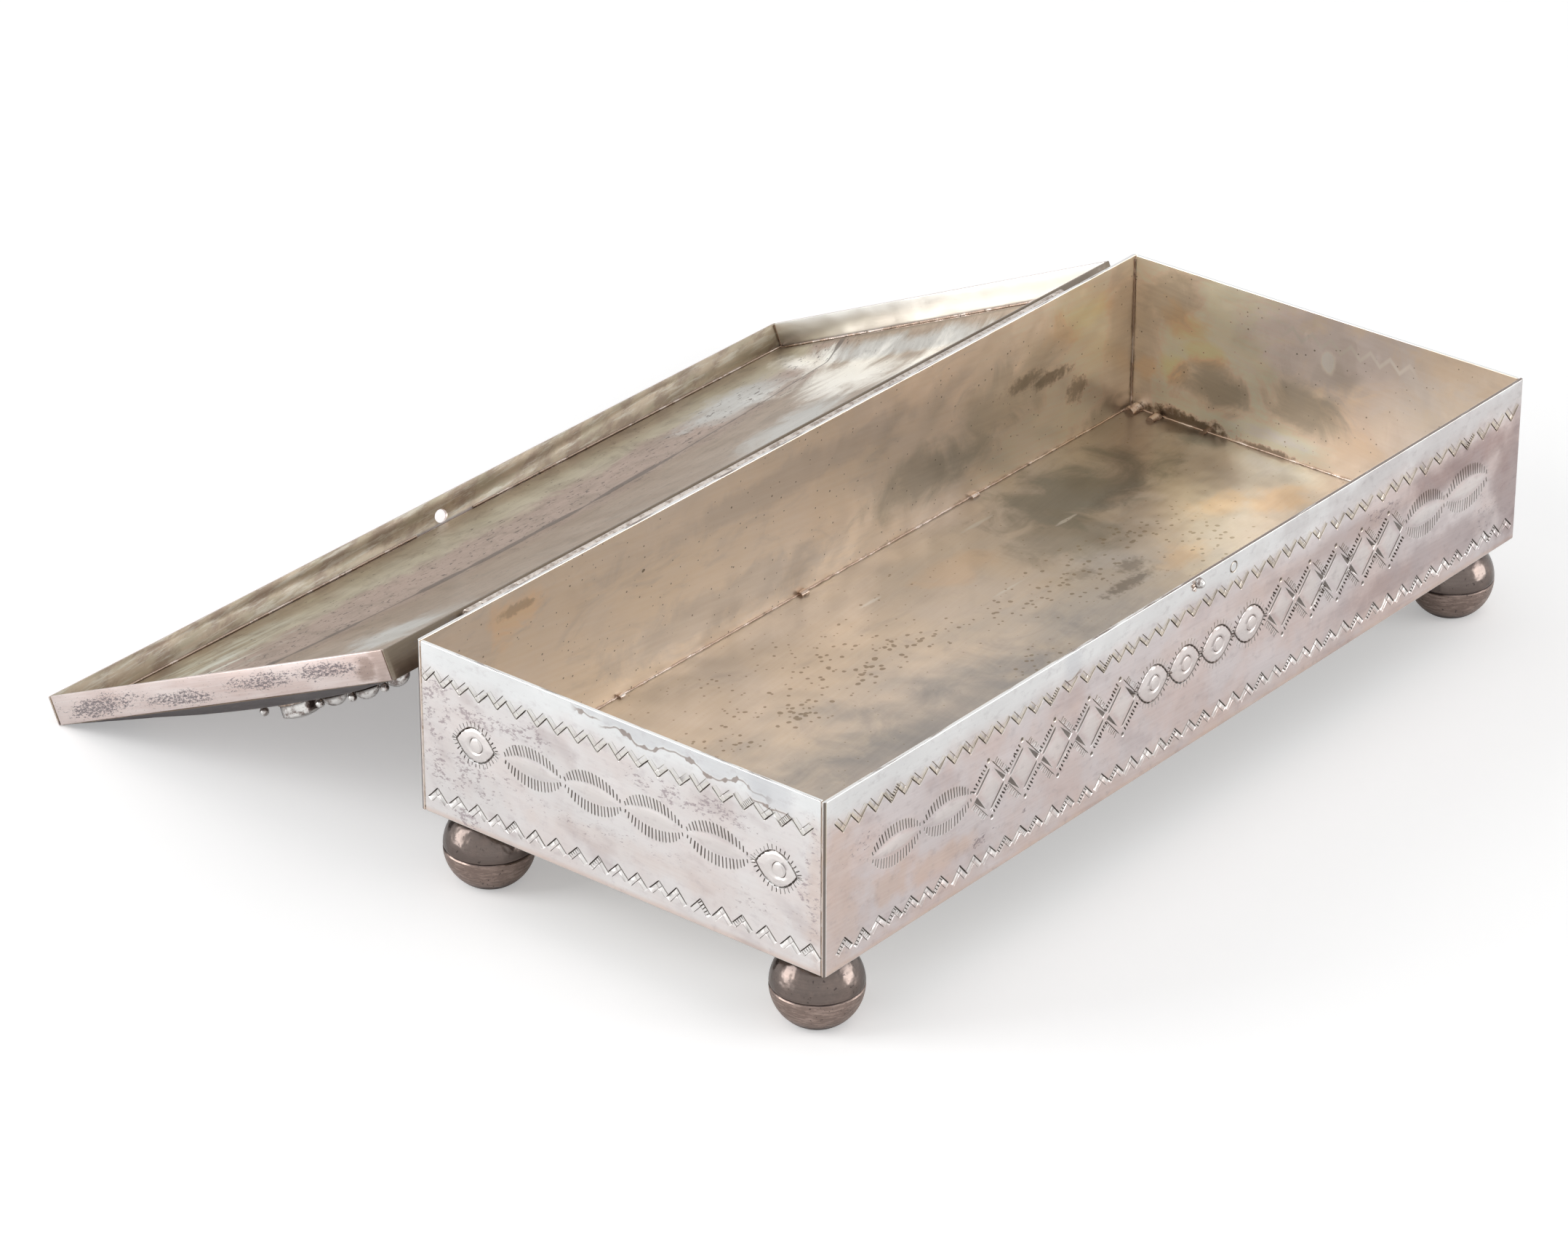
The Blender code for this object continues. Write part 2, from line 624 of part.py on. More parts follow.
def make_boss(shop, end_name, end, lid_axis):
    """Make the round setting near one end of the lid, and the polished dome that it holds."""
    along = end * (LID_LENGTH / 2 - BOSS_FROM_END)
    inner = BOSS_RADIUS - BOSS_SHEET
    setting_profile = [
        (BOSS_RADIUS - BOSS_LIP, BOSS_HEIGHT),
        (BOSS_RADIUS, BOSS_HEIGHT - BOSS_LIP),
        (BOSS_RADIUS, 0),
        (inner, 0),
        (inner, BOSS_HEIGHT),
        (BOSS_RADIUS - BOSS_LIP, BOSS_HEIGHT),
    ]
    name = f"boss_{end_name}_setting"
    setting = shop.add(name, polyline_mesh(name, setting_profile), BRIGHT_TONE, parent=lid_axis)
    place_on_lid(setting, along, BOSS_OFF_MIDDLE, SOLDER_GAP)
    add_turn(setting, 2 * TUBE_SIDES)

    dome_radius = inner - SOLDER_GAP
    dome_profile = []
    for across_share, up_share in quarter_round(ARC_STEPS):
        dome_profile.append((dome_radius * across_share, BOSS_HEIGHT + DOME_CROWN * up_share))
    dome_profile += [(dome_radius, 0), (0, 0)]
    name = f"boss_{end_name}_dome"
    dome = shop.add(name, polyline_mesh(name, dome_profile), BRIGHT_TONE, parent=lid_axis)
    place_on_lid(dome, along, BOSS_OFF_MIDDLE, SOLDER_GAP)
    add_turn(dome, 2 * TUBE_SIDES)


def leaf_mesh(name):
    """Return a leaf with a flat back, a crowned face and two pointed ends, lying along X."""
    bm = bmesh.new()
    bmesh.ops.create_uvsphere(bm, u_segments=SMALL_SIDES, v_segments=SMALL_RINGS, radius=1.0)
    bmesh.ops.rotate(bm, verts=bm.verts, matrix=Matrix.Rotation(math.pi / 2, 3, "Y"))
    for vert in bm.verts:
        taper_share = math.sqrt(max(0, 1 - vert.co.x ** 2))
        half_width = LEAF_WIDTH / 2 * taper_share
        height = LEAF_HEIGHT * taper_share
        vert.co = (vert.co.x * LEAF_LENGTH / 2, vert.co.y * half_width, vert.co.z * height)
    cut = bmesh.ops.bisect_plane(
        bm, geom=bm.verts[:] + bm.edges[:] + bm.faces[:], plane_co=(0, 0, 0), plane_no=(0, 0, 1),
        clear_inner=True
    )
    rim = [item for item in cut["geom_cut"] if isinstance(item, bmesh.types.BMEdge)]
    bmesh.ops.edgeloop_fill(bm, edges=rim)
    return mesh_from(bm, name)


def drop_mesh(name):
    """Return a round drop of silver."""
    bm = bmesh.new()
    bmesh.ops.create_uvsphere(
        bm, u_segments=SMALL_SIDES, v_segments=SMALL_RINGS, radius=DROP_RADIUS
    )
    return mesh_from(bm, name)


def make_spray(shop, end_name, end, lid_axis):
    """Make the drops and leaves that run in turn from a boss towards the hinge."""
    along = end * (LID_LENGTH / 2 - SPRAY_FROM_END)
    first = BOSS_OFF_MIDDLE + BOSS_TO_DROP
    drops = [BOSS_OFF_MIDDLE - BOSS_TO_DROP]
    drops += [first + index * SPRAY_PITCH for index in range(LEAVES_IN_SPRAY)]
    for number, across in enumerate(drops, 1):
        name = f"drop_{end_name}_{number}"
        drop = shop.add(name, drop_mesh(name), BRIGHT_TONE, parent=lid_axis)
        place_on_lid(drop, along, across, DROP_RADIUS + SOLDER_GAP)
        add_smooth(drop)
    for index in range(LEAVES_IN_SPRAY):
        name = f"leaf_{end_name}_{index + 1}"
        leaf = shop.add(name, leaf_mesh(name), BRIGHT_TONE, parent=lid_axis)
        across = first + (index + 1 / 2) * SPRAY_PITCH
        place_on_lid(leaf, along, across, SOLDER_GAP, math.pi / 2)
        add_smooth(leaf)


def main():
    """Build the whole box with its lid open."""
    clear_scene()
    shop = Shop()
    make_tray(shop)
    make_feet(shop)
    make_catch_bead(shop)
    lid_axis = make_lid_axis(shop)
    make_bearer(shop)
    make_knuckles(shop, lid_axis)
    make_pin(shop)
    make_lid(shop, lid_axis)
    for end_name, end in (("left", -1), ("right", 1)):
        make_boss(shop, end_name, end, lid_axis)
        make_spray(shop, end_name, end, lid_axis)


main()
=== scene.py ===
"""Dresses the footed silver keepsake box: stamped walls, tarnished tray, crowned lid and solder.

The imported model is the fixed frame. Sheet pieces are copies of the frame's solids with their
stamps cut in by geometry nodes. The lid's panel, the ball feet and the solder are built here.
Sizes that this file repeats from the model are in millimetres where a name ends in _mm, and in
metres elsewhere.
"""

import json
import logging
import math
import random
from dataclasses import dataclass, field
from enum import Enum
from typing import Sequence

import bmesh
import bpy
from mathutils import Matrix, Vector, noise


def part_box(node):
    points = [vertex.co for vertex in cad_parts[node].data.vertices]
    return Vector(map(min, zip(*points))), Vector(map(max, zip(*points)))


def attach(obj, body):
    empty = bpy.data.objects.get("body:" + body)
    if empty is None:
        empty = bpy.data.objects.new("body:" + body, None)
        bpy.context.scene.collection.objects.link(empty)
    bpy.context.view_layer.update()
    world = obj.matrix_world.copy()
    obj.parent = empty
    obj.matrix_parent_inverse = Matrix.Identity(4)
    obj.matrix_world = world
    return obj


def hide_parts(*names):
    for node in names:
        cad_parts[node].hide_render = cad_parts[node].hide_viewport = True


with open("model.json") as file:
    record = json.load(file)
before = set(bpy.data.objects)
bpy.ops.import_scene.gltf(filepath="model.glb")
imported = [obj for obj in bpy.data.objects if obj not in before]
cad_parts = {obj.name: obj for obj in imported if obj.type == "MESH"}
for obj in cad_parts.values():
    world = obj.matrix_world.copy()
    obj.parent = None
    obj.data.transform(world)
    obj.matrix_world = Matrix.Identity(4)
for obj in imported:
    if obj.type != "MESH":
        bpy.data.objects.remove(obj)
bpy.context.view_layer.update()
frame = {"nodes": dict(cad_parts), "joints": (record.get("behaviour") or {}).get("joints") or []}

log = logging.getLogger("silver_box")

MM = 0.001

Triple = tuple[float, float, float]
Colour = Triple
Point = tuple[float, float]
Socket = bpy.types.NodeSocket

# A patch on a face: its middle's u and v, its reach along both, and its strength.
Patch = tuple[float, float, float, float, float]
Stains = dict[str, Sequence[Patch]]

# How ragged the patches are, and how far out their edge fades from 0 to full, in shares.
RAGGED = 2.4
PATCH_EDGE = (1.3, 0.4)

LID_MIDDLE_MM = (121.2, 54.2)

# How a copied solid is cleaned: points this near are one, flatter edges go, and sharper
# ones are eased.
WELD_REACH = 0.000002
FLAT_DEGREES = 0.5
EASED_DEGREES = 50.0

# How nearly a face has to look along a normal to be shaded flat.
FLAT_ENOUGH = 0.99999


# Frames of reference


@dataclass(frozen=True)
class FaceFrame:
    """A flat frame on a face: u and v run on it in millimetres, depth runs below it."""

    origin: Vector
    u_axis: Vector
    v_axis: Vector
    normal: Vector

    def turn(self) -> Matrix:
        """Return the rotation whose X, Y and Z are u, v and the outward normal."""
        return Matrix((self.u_axis, self.v_axis, self.normal)).transposed()

    def point(self, u: float, v: float, proud: float = 0.0) -> Vector:
        """Return the place of a point of the face.

        Args:
            u: Millimetres along the face.
            v: Millimetres up the face.
            proud: Millimetres above the face, along its normal.

        Returns:
            The place in metres, in the row frame.
        """
        return self.origin + (self.u_axis * u + self.v_axis * v + self.normal * proud) * MM


def wall_frames() -> dict[str, FaceFrame]:
    """Return the frame of each wall's outer face, with u from its left and v from its foot."""
    front_low, front_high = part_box("front_wall")
    back_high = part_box("back_wall")[1]
    left, right = front_low.x, front_high.x
    near, far, foot = front_low.y, back_high.y, front_low.z
    x_axis, y_axis, z_axis = Vector((1, 0, 0)), Vector((0, 1, 0)), Vector((0, 0, 1))
    return {
        "front_wall": FaceFrame(Vector((left, near, foot)), x_axis, z_axis, -y_axis),
        "back_wall": FaceFrame(Vector((right, far, foot)), -x_axis, z_axis, y_axis),
        "left_end_wall": FaceFrame(Vector((left, far, foot)), -y_axis, z_axis, -x_axis),
        "right_end_wall": FaceFrame(Vector((right, near, foot)), y_axis, z_axis, x_axis),
    }


@dataclass(frozen=True)
class LidSizes:
    """Sizes of the lid, as the model has them, in metres."""

    length: float = 0.2424
    depth: float = 0.1084
    back_from_axis: float = 0.0024
    fold_above_axis: float = 0.0053
    sheet: float = 0.0008
    end_bevel_run: float = 0.0093
    side_bevel_run: float = 0.0218
    bevel_rise: float = 0.0039
    long_crown: float = 0.0035
    cross_crown: float = 0.0010
    inset: float = 0.0011
    flange_height: float = 0.0065

    def height(self, along: float, across: float, blend: float = 0.0004) -> float:
        """Return the height of the outside over the fold.

        Args:
            along: Place along the lid from its middle.
            across: Place across the lid from its middle.
            blend: How softly the bevels run into the crowned top.

        Returns:
            The height in metres.
        """
        half_long = self.length / 2 - self.end_bevel_run
        half_cross = self.depth / 2 - self.side_bevel_run
        long_share = min(abs(along), half_long) / half_long
        cross_share = min(abs(across), half_cross) / half_cross
        crown = self.long_crown * (1 - long_share**2) + self.cross_crown * (1 - cross_share**2)
        top = self.bevel_rise + crown
        end = top * (self.length / 2 - abs(along)) / self.end_bevel_run
        side = top * (self.depth / 2 - abs(across)) / self.side_bevel_run
        return soft_least(soft_least(top, end, blend), side, blend)


def soft_least(first: float, second: float, blend: float) -> float:
    """Return the lesser of two values, rounded off where they meet."""
    overlap = max(blend - abs(first - second), 0.0) / blend
    return min(first, second) - overlap * overlap * blend / 4


@dataclass(frozen=True)
class LidPlace:
    """Where the open lid stands: turns the shut lid's places into the row frame's."""

    sizes: LidSizes = LidSizes()

    def turn(self) -> Matrix:
        """Return the open lid's rotation from its shut position."""
        angle = -math.radians(frame["joints"][0]["range_deg"][1])
        return Matrix.Rotation(angle, 4, "X")

    def matrix(self) -> Matrix:
        """Return the matrix from the lid's middle, at its fold, to the row frame."""
        sizes = self.sizes
        middle = Vector((0, -sizes.back_from_axis - sizes.depth / 2, sizes.fold_above_axis))
        axis = Vector(frame["joints"][0]["pos_m"])
        return Matrix.Translation(axis) @ self.turn() @ Matrix.Translation(middle)

    def inner_frame(self) -> FaceFrame:
        """Return the frame of the lid: u along it, v from hinge to free edge, normal inwards."""
        place = self.matrix()
        corner = place @ Vector((-self.sizes.length / 2, self.sizes.depth / 2, 0))
        axes = [place.to_3x3() @ Vector(way) for way in ((1, 0, 0), (0, -1, 0), (0, 0, -1))]
        return FaceFrame(corner, *axes)

    def seat(self, along: float, across: float, lift: float) -> Matrix:
        """Return the matrix that stands a piece on the lid's outside.

        Args:
            along: Place along the lid from its middle.
            across: Place across the lid from its middle, towards the hinge.
            lift: How far the piece's foot stands off the surface.

        Returns:
            The matrix, whose X runs along the lid and whose Z points out of it.
        """
        step, height = MM, self.sizes.height
        slopes = (
            (height(along + step, across) - height(along - step, across)) / 2 / step,
            (height(along, across + step) - height(along, across - step)) / 2 / step,
        )
        normal = Vector((-slopes[0], -slopes[1], 1)).normalized()
        side = normal.cross(Vector((1, 0, 0))).normalized()
        turn = Matrix((side.cross(normal), side, normal)).transposed().to_4x4()
        foot = Vector((along, across, height(along, across))) + normal * lift
        return self.matrix() @ Matrix.Translation(foot) @ turn


@dataclass(frozen=True)
class OuterMarks:
    """Where a wall's outside is pitted, stained warm, run over with solder, and dusky."""

    pitted: Sequence[Patch]
    warmed: Sequence[Patch]
    flooded: Sequence[Triple]
    dusky: Sequence[Patch] = ()


# Materials


class TreeBench:
    """Builds one node tree, a node at a time."""

    tree: bpy.types.NodeTree

    def feed(self, socket: Socket, value: object) -> None:
        """Link a socket to another node's output, or set it to a plain value."""
        if isinstance(value, bpy.types.NodeSocket):
            self.tree.links.new(value, socket)
        elif isinstance(value, tuple) and socket.type == "RGBA":
            socket.default_value = (*value, 1.0)
        else:
            socket.default_value = value

    def node(self, kind: str, feeds: dict | None = None, **settings: object) -> bpy.types.Node:
        """Add a node, set its own settings, and feed its inputs by name or index."""
        made = self.tree.nodes.new(kind)
        for name, value in settings.items():
            setattr(made, name, value)
        for name, value in (feeds or {}).items():
            self.feed(made.inputs[name], value)
        return made

    def math(self, operation: str, *values: object) -> Socket:
        """Return the result of one sum on numbers."""
        return self.node("ShaderNodeMath", dict(enumerate(values)), operation=operation).outputs[0]

    def times(self, first: object, second: object) -> Socket:
        """Return a product."""
        return self.math("MULTIPLY", first, second)

    def plus(self, first: object, second: object) -> Socket:
        """Return a sum."""
        return self.math("ADD", first, second)

    def less(self, first: object, second: object) -> Socket:
        """Return a difference."""
        return self.math("SUBTRACT", first, second)

    def apart(self, first: object, second: object) -> Socket:
        """Return how far apart two numbers are."""
        return self.math("ABSOLUTE", self.less(first, second))

    def vector(self, operation: str, *values: object) -> Socket:
        """Return the result of one sum on vectors."""
        made = self.node("ShaderNodeVectorMath", dict(enumerate(values)), operation=operation)
        return made.outputs["Value" if operation in ("DOT_PRODUCT", "LENGTH") else 0]


class NodeBench(TreeBench):
    """Builds one material's nodes, a value or a colour at a time."""

    def __init__(self, name: str, face: FaceFrame | None = None) -> None:
        """Start a material, with its spots in millimetres on a face, or else in the row frame."""
        self.material = bpy.data.materials.new(name)
        self.material.use_nodes = True
        self.tree = self.material.node_tree
        self.shader = self.tree.nodes["Principled BSDF"]
        self.face = face
        place = self.node("ShaderNodeTexCoord").outputs["Object"]
        self.spot = self.on_face(place) if face else self.vector("MULTIPLY", place, (1000.0,) * 3)

    def on_face(self, place: Socket) -> Socket:
        """Return a place as u, v and height above the face, in millimetres."""
        face = self.face
        local = self.vector("SUBTRACT", place, tuple(face.origin))
        shares = [
            self.vector("DOT_PRODUCT", local, tuple(axis / MM))
            for axis in (face.u_axis, face.v_axis, face.normal)
        ]
        return self.node("ShaderNodeCombineXYZ", dict(enumerate(shares))).outputs[0]

    def facing(self, direction: Vector) -> Socket:
        """Return how far the surface faces a direction, from -1 to 1."""
        normal = self.node("ShaderNodeTexCoord").outputs["Normal"]
        return self.vector("DOT_PRODUCT", normal, tuple(direction))

    def parts(self) -> Sequence[Socket]:
        """Return the three numbers of the spot."""
        return self.node("ShaderNodeSeparateXYZ", {0: self.spot}).outputs

    def stretch(self, scale: Triple, turn: float) -> Socket:
        """Return the spot turned by some degrees on its face, then scaled."""
        angles = (0.0, 0.0, math.radians(turn))
        feeds = {"Vector": self.spot, "Rotation": angles}
        turned = self.node("ShaderNodeMapping", feeds, vector_type="POINT").outputs[0]
        feeds = {"Vector": turned, "Scale": scale}
        return self.node("ShaderNodeMapping", feeds, vector_type="POINT").outputs[0]

    def noise(
        self, scale: float | Triple, detail: float = 3.0, rough: float = 0.55, warp: float = 0.0,
        turn: float = 0.0
    ) -> Socket:
        """Return cloudy noise round 0.5.

        Args:
            scale: Waves to the millimetre, or three of them, along the spot's own axes.
            detail: How many finer waves are added.
            rough: The strength of the finer waves.
            warp: How far the waves are distorted.
            turn: How far the three axes are turned, in degrees.

        Returns:
            The noise.
        """
        feeds = {"Vector": self.spot, "Scale": scale}
        if isinstance(scale, tuple):
            feeds = {"Vector": self.stretch(scale, turn), "Scale": 1.0}
        feeds |= {"Detail": detail, "Roughness": rough, "Distortion": warp}
        return self.node("ShaderNodeTexNoise", feeds).outputs[0]

    def cells(self, scale: float, stretch: Triple, turn: float) -> Socket:
        """Return the distance to the nearest of scattered points."""
        feeds = {"Vector": self.stretch(stretch, turn), "Scale": scale}
        return self.node("ShaderNodeTexVoronoi", feeds, feature="F1").outputs["Distance"]

    def ease(self, value: Socket, low: float, high: float, top: float = 1.0) -> Socket:
        """Return a value that rises softly from 0 to top as another goes from low to high."""
        ends = (low, high, 0.0, top) if low < high else (high, low, top, 0.0)
        feeds = dict(zip(("Value", "From Min", "From Max", "To Min", "To Max"), (value, *ends)))
        made = self.node("ShaderNodeMapRange", feeds, interpolation_type="SMOOTHSTEP")
        return made.outputs["Result"]

    def tint(self, factor: object, base: object, other: object, blend: str = "MIX") -> Socket:
        """Return a colour mixed from a base and another by a factor."""
        feeds = {0: factor, 6: base, 7: other}
        return self.node("ShaderNodeMix", feeds, data_type="RGBA", blend_type=blend).outputs[2]

    def blend(self, factor: object, low: object, high: object) -> Socket:
        """Return a number mixed from two others by a factor."""
        feeds = {0: factor, 2: low, 3: high}
        return self.node("ShaderNodeMix", feeds, data_type="FLOAT").outputs[0]

    def patches(self, places: Sequence[Patch], rag: Socket, deep: float = 9.0) -> Socket:
        """Return one soft ragged mask for several patches.

        Args:
            places: The patches.
            rag: Noise round 0.5 that makes the outlines ragged.
            deep: How far the patches reach above and below the face.

        Returns:
            A mask that is each patch's strength in its middle and 0 outside.
        """
        whole = None
        for u, v, u_reach, v_reach, strength in places:
            away = self.vector("SUBTRACT", self.spot, (u, v, 0))
            scaled = self.vector("MULTIPLY", away, (1 / u_reach, 1 / v_reach, 1 / deep))
            stray = self.times(self.less(rag, 0.5), RAGGED)
            mask = self.ease(self.plus(self.vector("LENGTH", scaled), stray), *PATCH_EDGE)
            mask = self.times(mask, strength)
            whole = mask if whole is None else self.math("MAXIMUM", whole, mask)
        return whole

    def bump(self, height: Socket, depth: float, normal: Socket | None = None) -> Socket:
        """Return the surface's normal with a relief of the given depth in metres."""
        feeds = {"Strength": 1.0, "Distance": depth, "Height": height}
        if normal is not None:
            feeds["Normal"] = normal
        return self.node("ShaderNodeBump", feeds).outputs["Normal"]

    def finish(
        self, colour: object, roughness: object, normal: Socket | None = None,
        metallic: float = 1.0
    ) -> bpy.types.Material:
        """Give the shader its colour, roughness and normal, and return the material."""
        feeds = {"Base Color": colour, "Roughness": roughness, "Metallic": metallic}
        if normal is not None:
            feeds["Normal"] = normal
        for name, value in feeds.items():
            self.feed(self.shader.inputs[name], value)
        return self.material

    def sheet(self, colour: Socket, dull: float, duller: object = None) -> bpy.types.Material:
        """Return the material of hand-worked sheet.

        Args:
            colour: Its colour.
            dull: Its mean roughness.
            duller: What is added to the roughness, if anything.

        Returns:
            The material, with fine scratches and soft hammer marks.
        """
        scratch = self.noise((0.25, 4.0, 2.0), 3.0, 0.7, turn=24)
        both = self.plus(scratch, self.noise((3.5, 0.3, 2.0), 2.0, 0.7, turn=11))
        rough = self.plus(self.times(both, 0.14), dull - 0.14)
        if duller is not None:
            rough = self.plus(rough, duller)
        hammered = self.bump(self.noise(0.055, 2.0, 0.4), 0.0012)
        return self.finish(colour, rough, self.bump(both, 0.000012, hammered))


class Coat:
    """A colour built up on a bench, one layer over another."""

    def __init__(self, bench: NodeBench, base: object) -> None:
        """Start with a base colour."""
        self.bench, self.colour = bench, base

    def over(self, mask: object, other: object, blend: str = "MIX") -> None:
        """Lay another colour over the coat by a mask."""
        self.colour = self.bench.tint(mask, self.colour, other, blend)

    def lay(
        self, other: Colour, value: Socket, low: float, high: float, top: float = 1.0
    ) -> None:
        """Lay a colour, up to the strength top, as a value goes from low to high."""
        self.over(self.bench.ease(value, low, high, top), other)

    def blot(
        self, other: Colour, places: Sequence[Patch] | None, rag: Socket, deep: float = 9.0
    ) -> None:
        """Lay a colour on patches, if there are any."""
        if places:
            self.over(self.bench.patches(places, rag, deep), other)

    def brush(self, streak: Socket, strength: float, dark: Colour) -> None:
        """Darken and lighten the coat by streaks."""
        self.over(strength, self.bench.tint(streak, dark, (1, 1, 1)), "OVERLAY")


@dataclass(frozen=True)
class WornSheet:
    """The outside of the walls: silver worn pale, lilac and pink, pitted and scratched."""

    lilac: Colour = (0.66, 0.60, 0.595)
    pink: Colour = (0.65, 0.54, 0.51)
    mauve: Colour = (0.40, 0.32, 0.32)
    dusk: Colour = (0.64, 0.575, 0.57)
    pale: Colour = (0.76, 0.76, 0.755)
    crest: Colour = (0.72, 0.68, 0.655)
    groove: Colour = (0.68, 0.60, 0.465)
    facet: Colour = (0.80, 0.785, 0.76)
    warm: Colour = (0.64, 0.47, 0.38)
    pit: Colour = (0.23, 0.185, 0.20)
    patina: Colour = (0.135, 0.11, 0.095)
    seam: Colour = (0.20, 0.13, 0.095)
    film: Colour = (0.60, 0.61, 0.63)
    rim: Colour = (0.25, 0.21, 0.19)
    band_from_mm: float = 33.5
    grooved: float = 0.7

    def coat(self, bench: NodeBench, marks: OuterMarks) -> Coat:
        """Return the colour of the outer face, with dark stamped strokes.

        Args:
            bench: The material's bench.
            marks: Where the face is pitted, stained and flooded with solder.

        Returns:
            The coat.
        """
        _, height, proud = bench.parts()
        coat = Coat(bench, self.lilac)
        coat.lay(self.pink, bench.noise(0.045, 4.0, 0.6), 0.40, 0.62)
        coat.lay(self.warm, height, 1.7, 0.3, 0.55)
        coat.lay(self.mauve, bench.noise((0.05, 0.09, 0.05), 3.0, 0.6, turn=12), 0.50, 0.68, 0.35)
        rag = bench.noise(0.16)
        coat.over(bench.times(bench.patches(marks.warmed, rag), 0.55), self.warm)
        edge = bench.plus(height, bench.times(rag, 5.0))
        coat.lay(self.pale, edge, self.band_from_mm - 1.5, self.band_from_mm + 5.0)
        coat.lay(self.crest, proud, 0.01, 0.08, 0.6)
        uncut = bench.ease(bench.facing(bench.face.normal), 0.12, 0.32)
        sunken = bench.times(bench.ease(proud, -0.008, -0.035), uncut)
        shade = bench.tint(bench.ease(height, 22.0, 26.0), self.facet, self.groove)
        coat.over(bench.times(sunken, self.grooved), shade)
        self.flood(coat, marks.flooded)
        coat.brush(bench.noise((0.05, 1.6, 1.0), 4.0, turn=3), 0.20, (0.25, 0.22, 0.22))
        coat.lay(self.pit, bench.noise((0.35, 0.5, 0.5), 5.0, 0.7), 0.50, 0.72, 0.22)
        speck = bench.noise((0.75, 1.5, 1.2), 5.0, 0.75, turn=-8)
        bunch = bench.ease(bench.noise(0.30, 2.0), 0.30, 0.56)
        crowd = bench.times(bench.patches(marks.pitted, rag), bunch)
        pits = bench.ease(bench.less(speck, bench.blend(crowd, 0.68, 0.475)), 0.0, 0.055)
        coat.over(bench.times(pits, 0.72), self.pit)
        sunk = bench.times(bench.ease(proud, -0.05, -0.11), uncut)
        coat.over(bench.times(sunk, 0.9), self.patina)
        return coat

    def flood(self, coat: Coat, flooded: Sequence[Triple]) -> None:
        """Lay the film of solder that ran over the top band, and its dark edge."""
        bench = coat.bench
        along, height, _ = bench.parts()
        wander = bench.times(bench.noise((0.10, 0.02, 0.02), 2.0, 0.45), 9.0)
        broken = bench.noise((0.35, 0.2, 0.2), 2.0)
        for left, right, level in flooded:
            edge = bench.plus(wander, level - 4.5)
            thick = bench.times(bench.ease(broken, 0.46, 0.70), 0.75)
            line = bench.ease(bench.less(bench.apart(height, edge), thick), 0.30, 0.0, 0.7)
            half = (right - left) / 2
            near = bench.ease(bench.apart(along, (left + right) / 2), half, half - 3)
            over = bench.ease(bench.less(height, edge), 0.0, 0.8, 0.55)
            coat.over(bench.times(over, near), self.film)
            coat.over(bench.times(line, near), self.seam)


@dataclass(frozen=True)
class TannedSheet:
    """The inside of the tray: a golden-tan tarnish with dark clouds, spots and scratches."""

    tan: Colour = (0.73, 0.64, 0.555)
    gold: Colour = (0.76, 0.65, 0.535)
    grey: Colour = (0.51, 0.465, 0.43)
    lilac: Colour = (0.66, 0.61, 0.605)
    amber: Colour = (0.88, 0.63, 0.41)
    dark: Colour = (0.37, 0.345, 0.295)
    deep: Colour = (0.18, 0.145, 0.11)
    pale: Colour = (0.86, 0.84, 0.80)
    spot: Colour = (0.18, 0.14, 0.095)
    spots_to_mm: float = 0.5

    def coat(self, bench: NodeBench, stains: Stains, painted_lightness: Sequence[float]) -> Coat:
        """Return the colour of a face inside the tray.

        Args:
            bench: The material's bench.
            stains: Patches by the name of a colour above, with "spot" for crowded spots.
            painted_lightness: Two places along it in millimetres, and the lightness painted at
                each.

        Returns:
            The coat.
        """
        coat = Coat(bench, self.tan)
        coat.lay(self.gold, bench.noise(0.03, 4.0, 0.6, 0.6), 0.35, 0.65)
        coat.lay(self.grey, bench.noise((0.05, 0.12, 0.1), 5.0, 0.65, 1.2), 0.5, 0.75, 0.4)
        rag = bench.noise(0.085, 6.0, 0.62, 0.8)
        fine = bench.noise(0.6, 3.0, 0.6)
        for name in ("grey", "lilac", "amber", "dark", "deep", "pale"):
            coat.blot(getattr(self, name), stains.get(name), fine if name == "deep" else rag)
        coat.brush(bench.noise((0.07, 1.1, 1.0), 4.0, turn=-6), 0.16, (0.25, 0.24, 0.22))
        # Painted light and shade: the colour is scaled lighter or darker along the face to even
        # out how the lamps light the tray.
        first, last, painted_first, painted_last = painted_lightness
        painted_ramp = bench.times(bench.ease(bench.parts()[0], first, last), painted_last - painted_first)
        coat.colour = bench.vector("MULTIPLY", coat.colour, bench.plus(painted_ramp, painted_first))
        crowd = 0.35
        if "spot" in stains:
            crowd = bench.blend(bench.patches(stains["spot"], rag), 0.35, 1.0)
        reach = bench.times(bench.times(bench.noise(0.55, 1.0), 0.64), crowd)
        cells = bench.cells(self.spots_to_mm, (1.0, 1.15, 1.0), 20)
        coat.lay(self.spot, bench.less(reach, cells), 0.0, 0.06, 0.8)
        return coat


